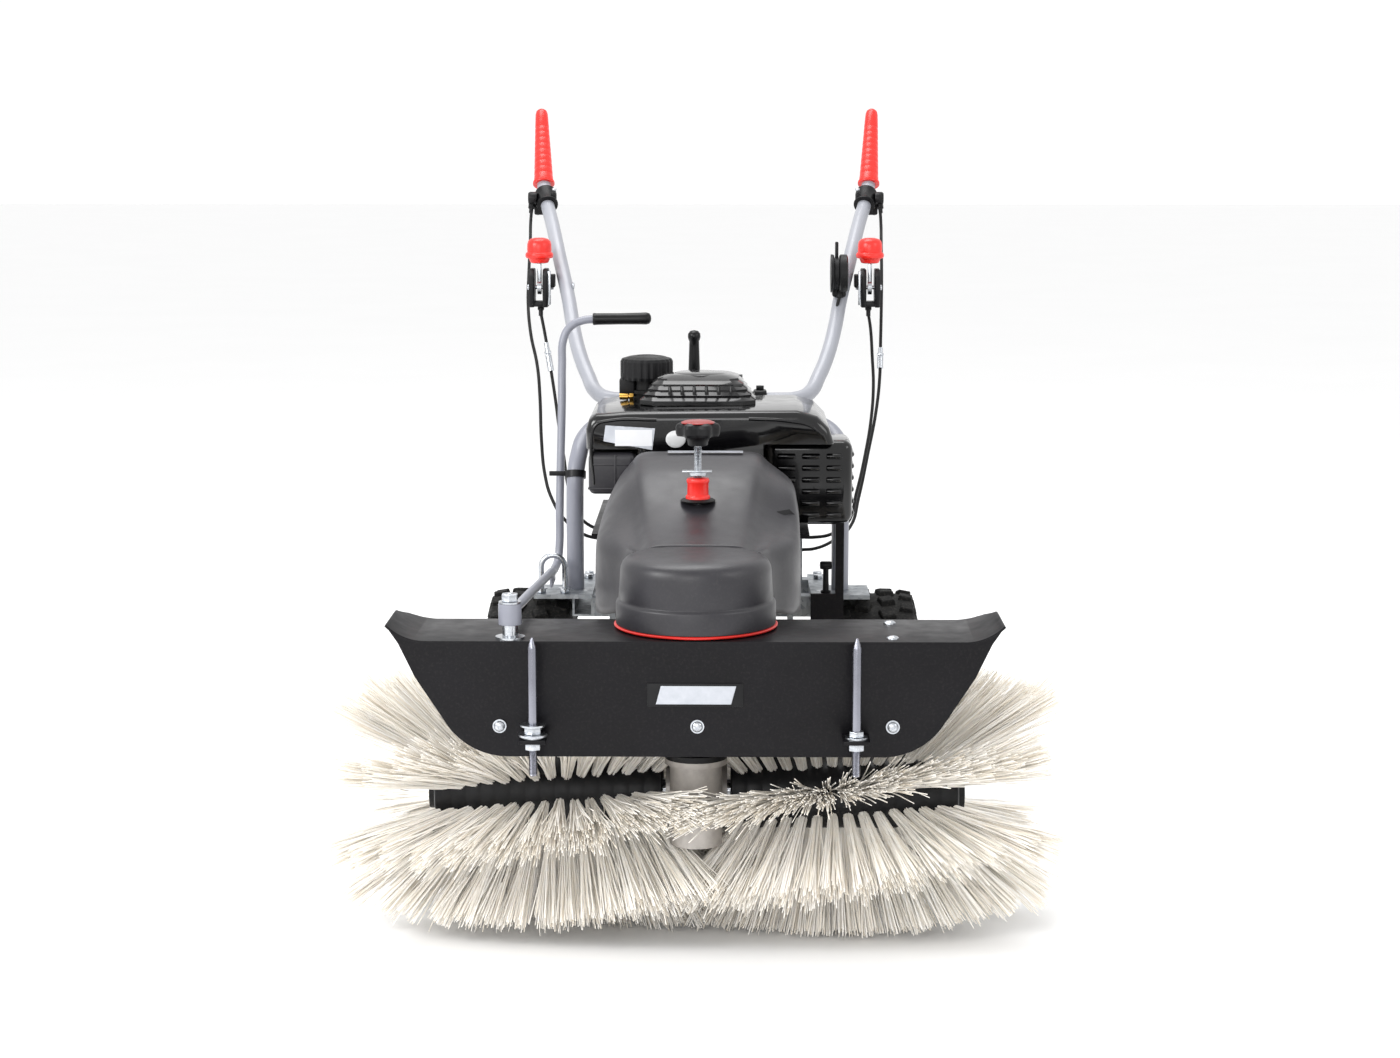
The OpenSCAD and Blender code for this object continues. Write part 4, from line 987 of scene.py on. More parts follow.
@dataclass
class BeltCover:
    """The moulded cover over the belt and pulley, with its drum, edging, spindle, knob and blank strip.

    Attributes:
        rows: cross sections as distance behind the shaft, half-width, bottom, left and right shoulder heights,
            left and right middle X and Z, ridge half-width, ridge height and crown height.
    """

    rows: list[tuple[float, ...]] = field(default_factory=lambda: [
        (-22, 82, 408, 476, 476, 75, 484, 75, 484, 61, 488, 490),
        (0, 90, 402, 474, 474, 81, 483, 81, 483, 63, 490, 494),
        (22, 98, 399, 471, 471, 87, 482, 87, 482, 65, 493, 498),
        (50, 116, 390, 472, 472, 98, 486, 98, 485, 68, 499, 504),
        (80, 128, 387, 478, 478, 104, 492, 102, 488, 70, 508, 514),
        (110, 132, 386, 482, 485, 107, 498, 104, 492, 73, 519, 525),
        (140, 132, 386, 484, 496, 108, 506, 110, 503, 76, 533, 538),
        (165, 132, 386, 486, 508, 108, 515, 118, 524, 79, 546, 550),
        (190, 132, 386, 487, 513, 108, 524, 122, 536, 81, 556, 560),
        (230, 132, 386, 489, 513, 107, 535, 122, 539, 83, 566, 568),
        (270, 131, 388, 491, 511, 106, 539, 121, 537, 84, 568, 570),
        (305, 129, 391, 492, 508, 105, 538, 120, 533, 84, 565, 567),
        (328, 126, 396, 490, 502, 103, 532, 116, 527, 82, 558, 560),
    ])

    def ring(self, part: bmesh.types.BMesh, row: tuple[float, ...]) -> list[bmesh.types.BMEdge]:
        """Draws one cross section from the left foot over the ridge to the right foot.

        Args:
            part: mesh that takes it.
            row: the section's sizes.

        Returns:
            Its edges in order.
        """
        y, half, foot, left, right, lx, lz, rx, rz, ridge, height, crown = row
        dots = [
            (-half, foot), (-half, foot + 0.45 * (left - foot)), (-half + 0.6, left - 10), (-half + 4, left),
            (-(lx + 0.55 * (half - lx)), left + 0.45 * (lz - left)), (-lx, lz), (-(ridge + 7), height - 13), (-ridge,
                height - 2),
            (-ridge + 12, height + 2), (-ridge * 0.45, height + 0.8 * (crown - height)), (0, crown),
            (ridge * 0.45, height + 0.8 * (crown - height)), (ridge - 12, height + 2), (ridge, height - 2),
                (ridge + 7, height - 13),
            (rx, rz), (rx + 0.55 * (half - rx), right + 0.45 * (rz - right)), (half - 4, right), (half - 0.6,
                right - 10),
            (half, foot + 0.45 * (right - foot)), (half, foot),
        ]
        verts = [part.verts.new(at(x, y, z)) for x, z in dots]
        return [part.edges.new(pair) for pair in zip(verts, verts[1:])]

    def shell(self) -> None:
        """Makes the cover's body by bridging its cross sections and thickening the skin."""
        part = bmesh.new()
        rings = [self.ring(part, row) for row in self.rows]
        for one, two in zip(rings, rings[1:]):
            bmesh.ops.bridge_loops(part, edges=one + two)
        back = rings[-1]
        ends = [v for e in back for v in e.verts]
        corners = [v for v in ends if sum(v in e.verts for e in back) == 1]
        back.append(part.edges.new(corners))
        lid = bmesh.ops.holes_fill(part, edges=back)
        bmesh.ops.inset_region(part, faces=[f for f in lid["faces"]], thickness=0.006, depth=0.0)
        bmesh.ops.recalc_face_normals(part, faces=part.faces)
        shape = Shape()
        step = bpy.data.meshes.new("step")
        part.to_mesh(step)
        part.free()
        shape.bm.from_mesh(step)
        bpy.data.meshes.remove(step)
        if sum(f.normal.z * f.calc_area() for f in shape.bm.faces) < 0:
            bmesh.ops.reverse_faces(shape.bm, faces=shape.bm.faces)
        cover = shape.done("belt_cover_body", COVER_BLACK, "front_arm", "cover_plastic", ["belt_cover"], subdivide=2)
        wall = cover.modifiers.new("wall", "SOLIDIFY")
        wall.thickness = 0.003
        wall.offset = -1

    def drum(self) -> None:
        """Makes the round drum with its stepped skirt and the red edging."""
        outline = [
            (93, 0), (97, 0.4), (97.3, 3), (97, 25), (96.2, 27.4), (94.2, 28.4), (93.2, 30.0), (93.8, 32), (91.6, 64),
                (91, 69),
            (88.8, 74.4), (85.5, 78.2), (80, 81), (72, 83.4), (55, 84.8), (20, 85.6), (0, 85.7), (0, 83), (70, 81),
                (86, 74),
            (89, 60), (90, 30), (93, 24), (93, 0),
        ]
        Shape().lathe(outline, at(0, -68, 404), Along.Z, 96).done(
            "belt_cover_drum", COVER_BLACK, "front_arm", "cover_plastic", crease=50)
        edge = [(91, -3.4), (97.6, -3.6), (99.2, -2.6), (99.4, -1.4), (98.4, -0.4), (91, -0.4), (91, -3.4)]
        Shape().lathe(edge, at(0, -68, 404), Along.Z, 96).done(
            "drum_edging", EDGE_RED, "front_arm", "red_rubber", ["drum_seal"], crease=50)

    def trim(self) -> None:
        """Makes a dark sheet of painted shade in the recess on the right, the blank strip, grommet and height collar.
        """
        # painted shade: the recess is the cover's own plastic, and this thin black slab paints the shade that falls in
        # it
        recess_shade_sheet = Shape()
        recess_shade_sheet.slab([at(*p) for p in ((80, 131, 506), (117, 145, 511), (127, 152, 500), (128, 156, 484), (112, 136,
            480), (92, 126, 488))], Vector((0.0004, -0.0018, 0.0006)), 0.5, 2)
        recess_shade_sheet.done("cover_recess_painted_shade", PLAIN_BLACK, "front_arm", "cover_plastic")
        strip = [at(-42, 262, 571.6), at(58, 262, 571.6), at(58, 250, 571.1), at(-42, 250, 571.1)]
        Shape().slab(strip, Vector((0, 0, 0.0009)), 0.3, 1).done(
            "cover_blank_strip", PLATE_SILVER, "front_arm", "zinc_steel")
        Shape().lathe([(9, 0), (21.5, -1), (22.5, 0.6), (20, 2.4), (14, 3.2), (9, 3.4), (9, 0)], at(0, 110, 527),
            Along.Z, 48).done(
            "spindle_grommet", SOFT_BLACK, "front_arm", "black_rubber")
        collar = [(5.6, 0), (15.4, 0), (15.6, 3.2), (14.6, 4.6), (13.6, 5.2), (13.5, 20), (14.4, 21.4), (14.6, 24),
            (13.6, 26.2), (5.6, 27), (5.6, 0)]
        Shape().lathe(collar, at(0, 110, 529.6), Along.Z, 48).done(
            "height_collar", SCARLET, "front_arm", "red_plastic", ["spindle_collar"], crease=40)

    def knob(self) -> None:
        """Makes the star knob with its red cap, and the threaded spindle with its stop tab."""
        part = bmesh.new()
        bmesh.ops.create_circle(part, cap_ends=True, segments=72, radius=25 * MM)
        for v in part.verts:
            a = math.atan2(v.co.y, v.co.x)
            r = (25.4 + 3.2 * math.cos(6 * a)) * MM
            v.co.x, v.co.y = r * math.cos(a), r * math.sin(a)
        rim = part.faces[:]
        for rise, grow in ((3.0, 1.05), (8.0, 1.02), (4.0, 0.94), (2.4, 0.84)):
            grown = bmesh.ops.extrude_face_region(part, geom=rim)
            rim = [g for g in grown["geom"] if isinstance(g, bmesh.types.BMFace)]
            dots = [g for g in grown["geom"] if isinstance(g, bmesh.types.BMVert)]
            bmesh.ops.translate(part, verts=dots, vec=(0, 0, rise * MM))
            bmesh.ops.scale(part, verts=dots, vec=(grow, grow, 1))
        bmesh.ops.scale(part, verts=part.verts, vec=(0.93, 0.93, 1))
        shape = Shape().take(part, Matrix.Translation(at(0, 110, 610)))
        shape.lathe([(5.2, 0), (11, 0), (12.6, 1), (13.4, 6), (15.4, 11), (19, 13.4), (5.2, 13.6)], at(0, 110, 597.6),
            Along.Z, 40)
        shape.done("star_knob_body", PLAIN_BLACK, "height_spindle", "black_plastic", ["star_knob"], crease=38)
        Shape().lathe([(21.6, 0), (21.2, 1.2), (17, 2.8), (9, 3.9), (0, 4.2), (0, 0)], at(0, 110, 626.6), Along.Z,
            48).done(
            "star_knob_cap", CAP_RED, "height_spindle", "red_plastic", crease=50)
        thread = [(0, 338), (4.2, 338)]
        height = 340.0
        while height < 596:
            thread += [(4.35, height), (5.0, height + 0.9)]
            height += 1.8
        rod = Shape().lathe(thread + [(5, 598), (0, 598)], at(0, 110, 0), Along.Z, 20)
        rod.lathe([(5, 0), (11, 0), (11.2, 1), (11, 4), (5, 4)], at(0, 110, 560), Along.Z, 36)
        rod.lathe([(5, 0), (9, 0), (9, 5.4), (5, 5.4)], at(0, 110, 496.2), Along.Z, 32)
        rod.lathe([(5, 0), (9, 0), (9, 3.6), (5, 3.6)], at(0, 110, 508.4), Along.Z, 32)
        rod.block(at(-20, 103, 564.1), at(18, 117, 565.7), 0.4)
        rod.done("height_screw", ZINC, "height_spindle", "zinc_steel", ["height_spindle"], crease=25)

    def build(self) -> None:
        """Makes the cover's pieces and dresses the arm under it."""
        self.shell()
        self.drum()
        self.trim()
        self.knob()
        dress(HOOD_BLACK, "front_arm")
        dress(SOFT_BLACK, "brush_belt", "traction_belt")
        dress(ZINC, "idler_arm", "pivot_bolts")
        dress(BRASS, "spindle_nut")


@dataclass
class Engine:
    """The petrol engine with its shroud, recoil cover, tank, filter box and muffler guard."""

    crank_y: float = 500.0

    def shroud(self) -> None:
        """Makes the gloss shroud from its outline, with rounded edges and a shallow front panel."""
        outline = [(-157, 504), (-157, 588), (-153, 601), (-143, 609), (-100, 612), (132, 614), (160, 606), (176,
            590), (183, 570), (184, 504)]
        part = bmesh.new()
        face = part.faces.new([part.verts.new(at(x, 368, z)) for x, z in outline])
        grown = bmesh.ops.extrude_face_region(part, geom=[face])
        bmesh.ops.translate(part, vec=(0, 0.230, 0), verts=[v for v in grown["geom"]
            if isinstance(v, bmesh.types.BMVert)])
        bmesh.ops.recalc_face_normals(part, faces=part.faces)
        floor_ = [f for f in part.faces if f.normal.z < -0.9]
        bmesh.ops.delete(part, geom=floor_, context="FACES")
        sharp = [e for e in part.edges if len(e.link_faces) == 2 and e.calc_face_angle() > 1.0]
        bmesh.ops.bevel(part, geom=sharp, offset=12 * MM, segments=5, affect="EDGES", profile=0.5, clamp_overlap=True,
            material=-1)
        for low, high in (((-170, 340, 490), (-85, 478, 561)), ((86, 340, 490), (210, 534, 568))):
            self.cut_away(part, at(*low), at(*high))
        bmesh.ops.remove_doubles(part, verts=part.verts, dist=1e-6)
        shape = Shape().take(part)
        cover = shape.done("engine_shroud_shell", GLOSS_BLACK, "chassis", "gloss_black", ["engine_shroud"], crease=35)
        wall = cover.modifiers.new("wall", "SOLIDIFY")
        wall.thickness = 0.003
        wall.offset = -1
        ridge = Shape()
        ridge.tube([at(x, y, z) for x, y, z in ((-146, 371, 512), (-149, 370, 575), (-143, 369.5, 594),
            (-126, 369, 600), (-60, 369, 601.5))], 2.6)
        ridge.tube([at(x, y, z) for x, y, z in ((66, 369, 603), (120, 369, 600), (152, 370, 592), (170, 371.5, 574))],
            2.6)
        ridge.done("shroud_ridges", GLOSS_BLACK, "chassis", "gloss_black")

    def cut_away(self, part: bmesh.types.BMesh, low: Vector, high: Vector) -> None:
        """Cuts the faces inside a box out of a shell.

        Args:
            part: the shell.
            low: lowest corner of the box.
            high: highest corner of the box.
        """
        for plane, normal in ((low, (-1, 0, 0)), (high, (1, 0, 0)), (low, (0, -1, 0)), (high, (0, 1, 0)), (low,
            (0, 0, -1)), (high, (0, 0, 1))):
            near = [f for f in part.faces if self.reaches(f, low, high)]
            if near:
                geom = near + list({e for f in near for e in f.edges}) + list({v for f in near for v in f.verts})
                bmesh.ops.bisect_plane(part, geom=geom, dist=1e-7, plane_co=plane, plane_no=normal)
        inside = [f for f in part.faces if all(low[i] < f.calc_center_median()[i] < high[i] for i in range(3))]
        bmesh.ops.delete(part, geom=inside, context="FACES")

    def reaches(self, face: bmesh.types.BMFace, low: Vector, high: Vector) -> bool:
        """True if a face's box meets a box.

        Args:
            face: the face.
            low: lowest corner of the box.
            high: highest corner of the box.

        Returns:
            Whether they meet.
        """
        for i in range(3):
            values = [v.co[i] for v in face.verts]
            if max(values) < low[i] or min(values) > high[i]:
                return False
        return True

    def recoil(self) -> None:
        """Makes the louvred recoil cover: a tapered hood with a ring of slats and its own screws."""
        foot = [(-66, 436), (58, 436), (76, 454), (76, 552), (58, 571), (30, 571), (-20, 559), (-34, 525), (-86, 514),
            (-86, 454)]
        part = bmesh.new()
        face = part.faces.new([part.verts.new(at(x, y, 614)) for x, y in foot])
        centre = at(-4, self.crank_y, 0)
        levels = [(6, 1.0), (5, 0.955), (2.4, 0.93), (5, 0.885), (2.4, 0.86), (5, 0.815), (2.4, 0.79), (4.6, 0.735),
            (2.6, 0.70), (3.4, 0.60), (1.2, 0.52)]
        groove = 0.965  # how far every second level steps in, which makes the louvres
        rim, size = [face], 1.0
        for number, (rise, scale) in enumerate(levels):
            grown = bmesh.ops.extrude_face_region(part, geom=rim)
            rim = [g for g in grown["geom"] if isinstance(g, bmesh.types.BMFace)]
            dots = [g for g in grown["geom"] if isinstance(g, bmesh.types.BMVert)]
            step = groove if number % 2 else 1.0
            factor = scale / size * step
            size = scale * step
            bmesh.ops.translate(part, verts=dots, vec=(0, 0, rise * MM))
            bmesh.ops.scale(part, verts=dots, vec=(factor, factor, 1), space=Matrix.Translation(-centre))
        bmesh.ops.recalc_face_normals(part, faces=part.faces)
        shape = Shape().take(part)
        for x in range(-46, 56, 17):
            shape.block(at(x, 441, 618), at(x + 4.4, 462, 640), 1.2)
        for x, y in ((-62, 448), (56, 448), (60, 548)):
            shape.lathe([(0, 0), (6.5, 0), (6.5, 8), (5.4, 9.6), (0, 10)], at(x, y, 612), Along.Z, 24)
        shape.done("recoil_housing", GLOSS_BLACK, "chassis", "gloss_black", ["recoil_cover"], crease=30)
        rim_ = Shape().lathe([(0, 0), (34, 0), (38, -2), (39.5, -5), (36, -5), (0, -3)], at(-2, self.crank_y, 655),
            Along.Z, 48)
        rim_.done("recoil_top_disc", GLOSS_BLACK, "chassis", "gloss_black")

    def tank(self) -> None:
        """Makes the filler neck with its fittings and the ribbed cap."""
        neck = Shape().lathe([(15, 0), (20, 0), (20, 18), (24, 19), (24, 23), (20, 24), (20, 37), (15, 37), (15, 0)],
                             at(-80, 572, 600), Along.Z, 40)
        neck.block(at(-119, 556, 614), at(-96, 588, 640), 3, 3)
        neck.block(at(-114, 552, 640), at(-98, 584, 650), 2, 2)
        neck.done("filler_neck", PLAIN_BLACK, "chassis", "black_plastic")
        cap = bmesh.new()
        bmesh.ops.create_circle(cap, cap_ends=True, segments=96, radius=35.5 * MM)
        for number, v in enumerate(cap.verts):
            if number % 4 in (0, 1):
                v.co *= 1.035
        rim = cap.faces[:]
        for rise, scale in ((4, 1.03), (22, 1.0), (4, 0.94), (3, 0.72), (1.4, 0.62), (-2.2, 0.96)):
            grown = bmesh.ops.extrude_face_region(cap, geom=rim)
            rim = [g for g in grown["geom"] if isinstance(g, bmesh.types.BMFace)]
            dots = [g for g in grown["geom"] if isinstance(g, bmesh.types.BMVert)]
            bmesh.ops.translate(cap, verts=dots, vec=(0, 0, rise * MM))
            bmesh.ops.scale(cap, verts=dots, vec=(scale, scale, 1))
        Shape().take(cap, Matrix.Translation(at(-80, 572, 638))).done(
            "ribbed_fuel_cap", PLAIN_BLACK, "fuel_cap", "black_plastic", ["fuel_cap"], crease=30)
        brass = Shape().lathe([(0, 0), (4.5, 0), (4.5, 12), (3, 13), (3, 20), (0, 20)], at(-118, 540, 616),
            Vector((1, 0, 0)), 20)
        brass.hex_head(at(-104, 540, 616), 11, 6, Vector((1, 0, 0)))
        brass.lathe([(0, 0), (5, 0), (5, 6), (0, 6)], at(-62, 540, 613), Along.Z, 20)
        brass.done("fuel_tap_fittings", BRASS, "chassis", "brass")

    def filter_box(self) -> None:
        """Makes the air filter box: a ribbed lower case and a smooth lid with a seam between them."""
        shape = Shape()
        shape.block(at(-154, 369, 498), at(-88, 470, 556), 9, 5)
        shape.block(at(-118.4, 367.8, 500), at(-115.6, 372, 553), 0.8)
        shape.block(at(-154.6, 368.4, 505), at(-87.6, 470, 507.4), 0.8)
        shape.block(at(-150, 368.6, 538), at(-92, 372, 541), 1.0)
        shape.done("air_filter_box", COVER_BLACK, "chassis", "black_plastic", ["air_filter_cover"], crease=35)

    def guard(self) -> None:
        """Makes the pressed muffler guard with its louvres."""
        shape = Shape()
        shape.block(at(91, 425, 449), at(211, 525, 566), 13, 5)
        shape.done("muffler_guard_shell", GLOSS_BLACK, "chassis", "gloss_black", ["muffler_guard"], crease=35)
        slats = Shape()
        for row in range(6):
            z = 462 + 16.5 * row
            for x, wide in ((106, 26), (140, 26), (174, 22)):
                slats.lathe([(0, 0), (3.6, 0.8), (4.2, 3), (4.2, wide - 3), (3.6, wide - 0.8), (0, wide)], at(x,
                    425.4, z), Vector((1, 0, 0)), 12)
        for row in range(6):
            z = 462 + 16.5 * row
            slats.lathe([(0, 0), (3.4, 0.8), (4.0, 3), (4.0, 57), (3.4, 59.2), (0, 60)], at(210.4, 446, z),
                Vector((0, 1, 0)), 12)
        slats.done("muffler_guard_louvres", GLOSS_BLACK, "chassis", "gloss_black", crease=50)

    def labels(self) -> None:
        """Makes the silver foil, the blank label and the pale oval plug on the shroud's front."""
        field_ = [at(-133, 368.2, 572), at(-66, 368.2, 560), at(-62, 368.2, 590), at(-130, 368.2, 594)]
        Shape().slab(field_, Vector((0, -0.0007, 0)), 0.2, 1).done("shroud_foil", PLATE_SILVER, "chassis",
            "silver_coat")
        paper = [at(-117, 367.3, 565.6), at(-66, 367.3, 565.6), at(-66, 367.3, 588), at(-117, 367.3, 588)]
        Shape().slab(paper, Vector((0, -0.0005, 0)), 0.2, 1).done("shroud_blank_label", LABEL_WHITE, "chassis",
            "silver_coat")
        Shape().ball(at(-34, 368, 575), 13, Vector((1.05, 0.22, 0.92))).done("shroud_oval_plug", RIM_WHITE, "chassis",
            "rim_paint")

    def build(self) -> None:
        """Makes the engine's pieces and dresses its hidden parts."""
        self.shroud()
        self.recoil()
        self.tank()
        self.filter_box()
        self.guard()
        self.labels()
        dress(CAST_GREY, "engine_block", "transmission_case")
        dress(PLAIN_BLACK, "fuel_tank", "starter_grip")
        dress(HOT_STEEL, "muffler")


def line_of(points: Sequence[tuple[float, float, float]], side: int = 1) -> list[Vector]:
    """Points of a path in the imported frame.

    Args:
        points: X, Y and Z in millimetres.
        side: -1 mirrors them to the left.

    Returns:
        The points in metres.
    """
    return [at(side * x, y, z) for x, y, z in points]


@dataclass
class Handles:
    """The handlebar with its grips, levers, housings, cables and the posts that carry it."""

    half_bar: list[tuple[float, float, float]] = field(default_factory=lambda: [
        (60, 650, 600), (108, 650, 600), (138, 656, 601), (158, 678, 608), (172, 712, 628), (186, 748, 656), (198,
            790, 692),
        (209, 842, 737), (226, 906, 794), (243, 985, 846), (256, 1046, 880), (263, 1085, 909), (266, 1113, 955)])
    left_post: list[tuple[float, float, float]] = field(default_factory=lambda: [
        (-184, 560, 334), (-184, 560, 400), (-184, 560, 470), (-183, 563, 500), (-179, 580, 528), (-171, 608, 550),
        (-150, 634, 566), (-120, 648, 574), (-70, 650, 575)])
    right_post: list[tuple[float, float, float]] = field(default_factory=lambda: [
        (200, 560, 334), (200, 560, 400), (200, 560, 470), (200, 563, 500), (200, 582, 528), (194, 612, 550),
        (170, 636, 566), (130, 648, 574), (70, 650, 575)])

    def tubes(self) -> None:
        """Makes the handlebar and the two posts as smooth tubes."""
        path = line_of(list(reversed(self.half_bar)), -1) + line_of(self.half_bar)
        Shape().tube(path, 11, sides=7).done("handlebar_tube", BAR_SILVER, "chassis", "silver_coat", ["handlebar"],
            crease=60)
        posts = Shape()
        posts.tube(line_of(self.left_post), 12.5, sides=7)
        posts.tube(line_of(self.right_post), 12.5, sides=7)
        posts.done("handle_post_tubes", POST_GREY, "chassis", "grey_coat", ["handle_posts"], crease=60)

    def grip_pair(self) -> None:
        """Makes the tapered grips with their flange and three low rings."""
        low, high = Vector((263, 1085, 909)), Vector((270, 1150, 1016))
        run = (high - low).normalized()
        outline = [(12.8, -5), (17.2, -5), (17.6, -4), (17.4, -1), (15.9, 0.4), (15.6, 3)]
        length = (high - low).length
        for ring in range(9):
            h = 10 + ring * 11
            r = 15.5 - 5.3 * h / length
            outline += [(r, h), (r - 0.35, h + 1.2), (r - 0.35, h + 2.4), (r - 0.1, h + 3.6)]
        outline += [(10.4, length - 6), (10, length + 1), (8.6, length + 6), (5.4, length + 9.2), (0, length + 10.4)]
        shape = Shape().lathe(outline, at(*low), Vector((run.x, run.y, run.z)), 40)
        shape.both_sides()
        shape.done("grip_sleeves", SCARLET, "chassis", "red_plastic", ["grips"], crease=35)

    def perches(self) -> None:
        """Makes the lever perches with clamp bands, cable barrels and their screws, and the hand levers."""
        centre, run = Vector((256, 1046, 882)), Vector((7, 39, 27)).normalized()
        shape = Shape()
        shape.lathe([(11.6, 0), (17, 0), (17.4, 2), (15.8, 5), (15.8, 26), (17.4, 30), (17, 32), (11.6, 32)],
                    at(*(centre - 16 * run)), run, 32)
        shape.block(at(246, 1046, 857), at(276, 1071, 877), 3, 3)
        shape.block(at(250, 1066, 856), at(255, 1096, 880), 1.5)
        shape.block(at(269, 1066, 856), at(274, 1096, 880), 1.5)
        shape.lathe([(0, 0), (9.4, 0), (10.2, 1.5), (10.2, 11), (8.4, 13.6), (0, 14)], at(271, 1040, 884), Along.X, 28)
        shape.lathe([(0, 0), (5.2, 0), (5.2, 9), (3.4, 10), (3.4, 17), (0, 17)], at(279, 1040, 876),
            Vector((0.06, -0.5, -0.86)), 20)
        shape.block(at(240, 1036, 872), at(250, 1056, 893), 2.5, 3)
        shape.both_sides()
        shape.done("perch_bodies", PLAIN_BLACK, "chassis", "black_plastic", ["lever_perches"], crease=35)
        screws = Shape()
        screws.hex_head(at(243, 1040, 896), 8, 4)
        screws.lathe([(0, 0), (3.9, 0), (3.9, 26), (0, 26)], at(248.6, 1082, 868), Along.X, 20)
        screws.hex_head(at(275, 1082, 868), 9, 4, Along.X)
        screws.both_sides()
        screws.done("perch_screws", ZINC, "chassis", "zinc_steel")
        blade = [(262, 1084, 868), (262, 1104, 880), (264, 1128, 900), (267, 1156, 932), (270, 1184, 972), (271, 1194,
            990)]
        for side, word in ((-1, "left"), (1, "right")):
            lever = Shape().tube(line_of(blade, side), 4.5)
            lever.ball(at(side * 271, 1193, 989), 6.4)
            lever.lathe([(4, 0), (8, 0), (8, 12.4), (4, 12.4)], at(side * 255.8, 1082, 868), Vector((side, 0, 0)), 24)
            lever.done(f"{word}_brake_blade", PLAIN_BLACK, f"{word}_hand_lever", "black_plastic",
                [f"{word}_hand_lever"])

    def housings(self) -> None:
        """Makes the two lever housings with steel strips, the throttle housing and its lever."""
        shape = Shape()
        outline = [(846, 722), (878, 722), (890, 745), (890, 772), (880, 781), (850, 781), (840, 770), (840, 742)]
        for x0, x1 in ((241, 249), (262, 270)):
            shape.slab([at(x0, y, z) for y, z in outline], Vector(((x1 - x0) * MM, 0, 0)), 1.8, 3)
        shape.block(at(246, 847, 723), at(265, 880, 731), 1.5)
        shape.block(at(231, 853, 752), at(243, 881, 772), 2, 3)
        shape.lathe([(0, 0), (5, 0), (5, 6), (3.4, 8), (3.4, 16), (0, 16)], at(253, 862, 724),
            Vector((0, -0.2, -0.98)), 20)
        shape.both_sides()
        shape.lathe([(0, 0), (27, 0), (29, 2), (29, 11), (26, 13), (0, 13.4)], at(206, 822, 776), Along.X, 40)
        shape.lathe([(0, 0), (29, 0), (29, 3.4), (27.6, 5), (0, 5)], at(193, 822, 776), Along.X, 40)
        shape.lathe([(0, 0), (10, 0), (10, 10), (0, 10)], at(197, 822, 776), Along.X, 32)
        shape.block(at(196, 822, 740), at(217, 846, 762), 3, 3)
        shape.lathe([(0, 0), (4.6, 0), (4.6, 10), (0, 10)], at(207, 822, 749), Vector((0, -0.3, -0.95)), 20)
        shape.done("control_housing_shells", PLAIN_BLACK, "chassis", "black_plastic", ["control_housings"], crease=35)
        strips = Shape()
        strips.block(at(236.6, 846, 726), at(240.8, 852, 778), 0.8)
        strips.hex_head(at(238, 868, 752), 9, 4.5, Vector((-1, 0, 0)))
        strips.hex_head(at(270, 866, 752), 9, 4, Along.X)
        strips.both_sides()
        for x, y, z, way in ((236, 850, 748, 1), (-236, 850, 748, -1)):
            strips.lathe([(0, 0), (2.6, 0), (2.6, 16), (0, 16)], at(x - way * 34, y, z), Vector((way, 0, 0)), 16)
            for tip in (-1, 1):
                strips.ball(at(x - way * 34, y, z + tip * 7), 4.4, Vector((0.5, 0.8, 1.5)))
        strips.done("lever_strips_and_wing_nuts", ZINC, "chassis", "zinc_steel")
        Shape().lathe([(10.5, 0), (25, 0), (25, 6), (10.5, 6), (10.5, 0)], at(199, 822, 776), Along.X, 40).block(
            at(199.5, 817, 796), at(204.5, 827, 824), 1.5).done(
            "throttle_blade", PLAIN_BLACK, "throttle_lever", "black_plastic", ["throttle_lever"])

    def mushrooms(self) -> None:
        """Makes the red mushroom levers with their blades."""
        for side, word in ((-1, "left"), (1, "right")):
            cap = Shape().lathe([
                (0, 0), (10, 0), (13.5, 1), (15.4, 5), (16.4, 7.4), (20.4, 8.4), (21.4, 10.6), (21.6, 13.6), (20.4,
                    16.2), (18.6, 17.2),
                (18.9, 22), (18.6, 29), (17.2, 34), (13.6, 37.4), (8, 39), (0, 39.4)], at(side * 255, 866, 789),
                    Along.Z, 44)
            cap.done(f"{word}_mushroom_knob", SCARLET, f"{word}_shift_lever", "red_plastic", [f"{word}_shift_lever"],
                crease=45)
            blade = Shape().block(at(side * 255 - 3, 860, 746), at(side * 255 + 3, 872, 792), 1)
            blade.lathe([(0, 0), (11, 0), (11, 6), (0, 6)], at(side * 255 - 3, 866, 752), Along.X, 28)
            blade.lathe([(0, 0), (3, 0), (3, 27), (0, 27)], at(side * 255 - 13.5, 866, 752), Along.X, 18)
            blade.done(f"{word}_shift_blade", ZINC, f"{word}_shift_lever", "zinc_steel")

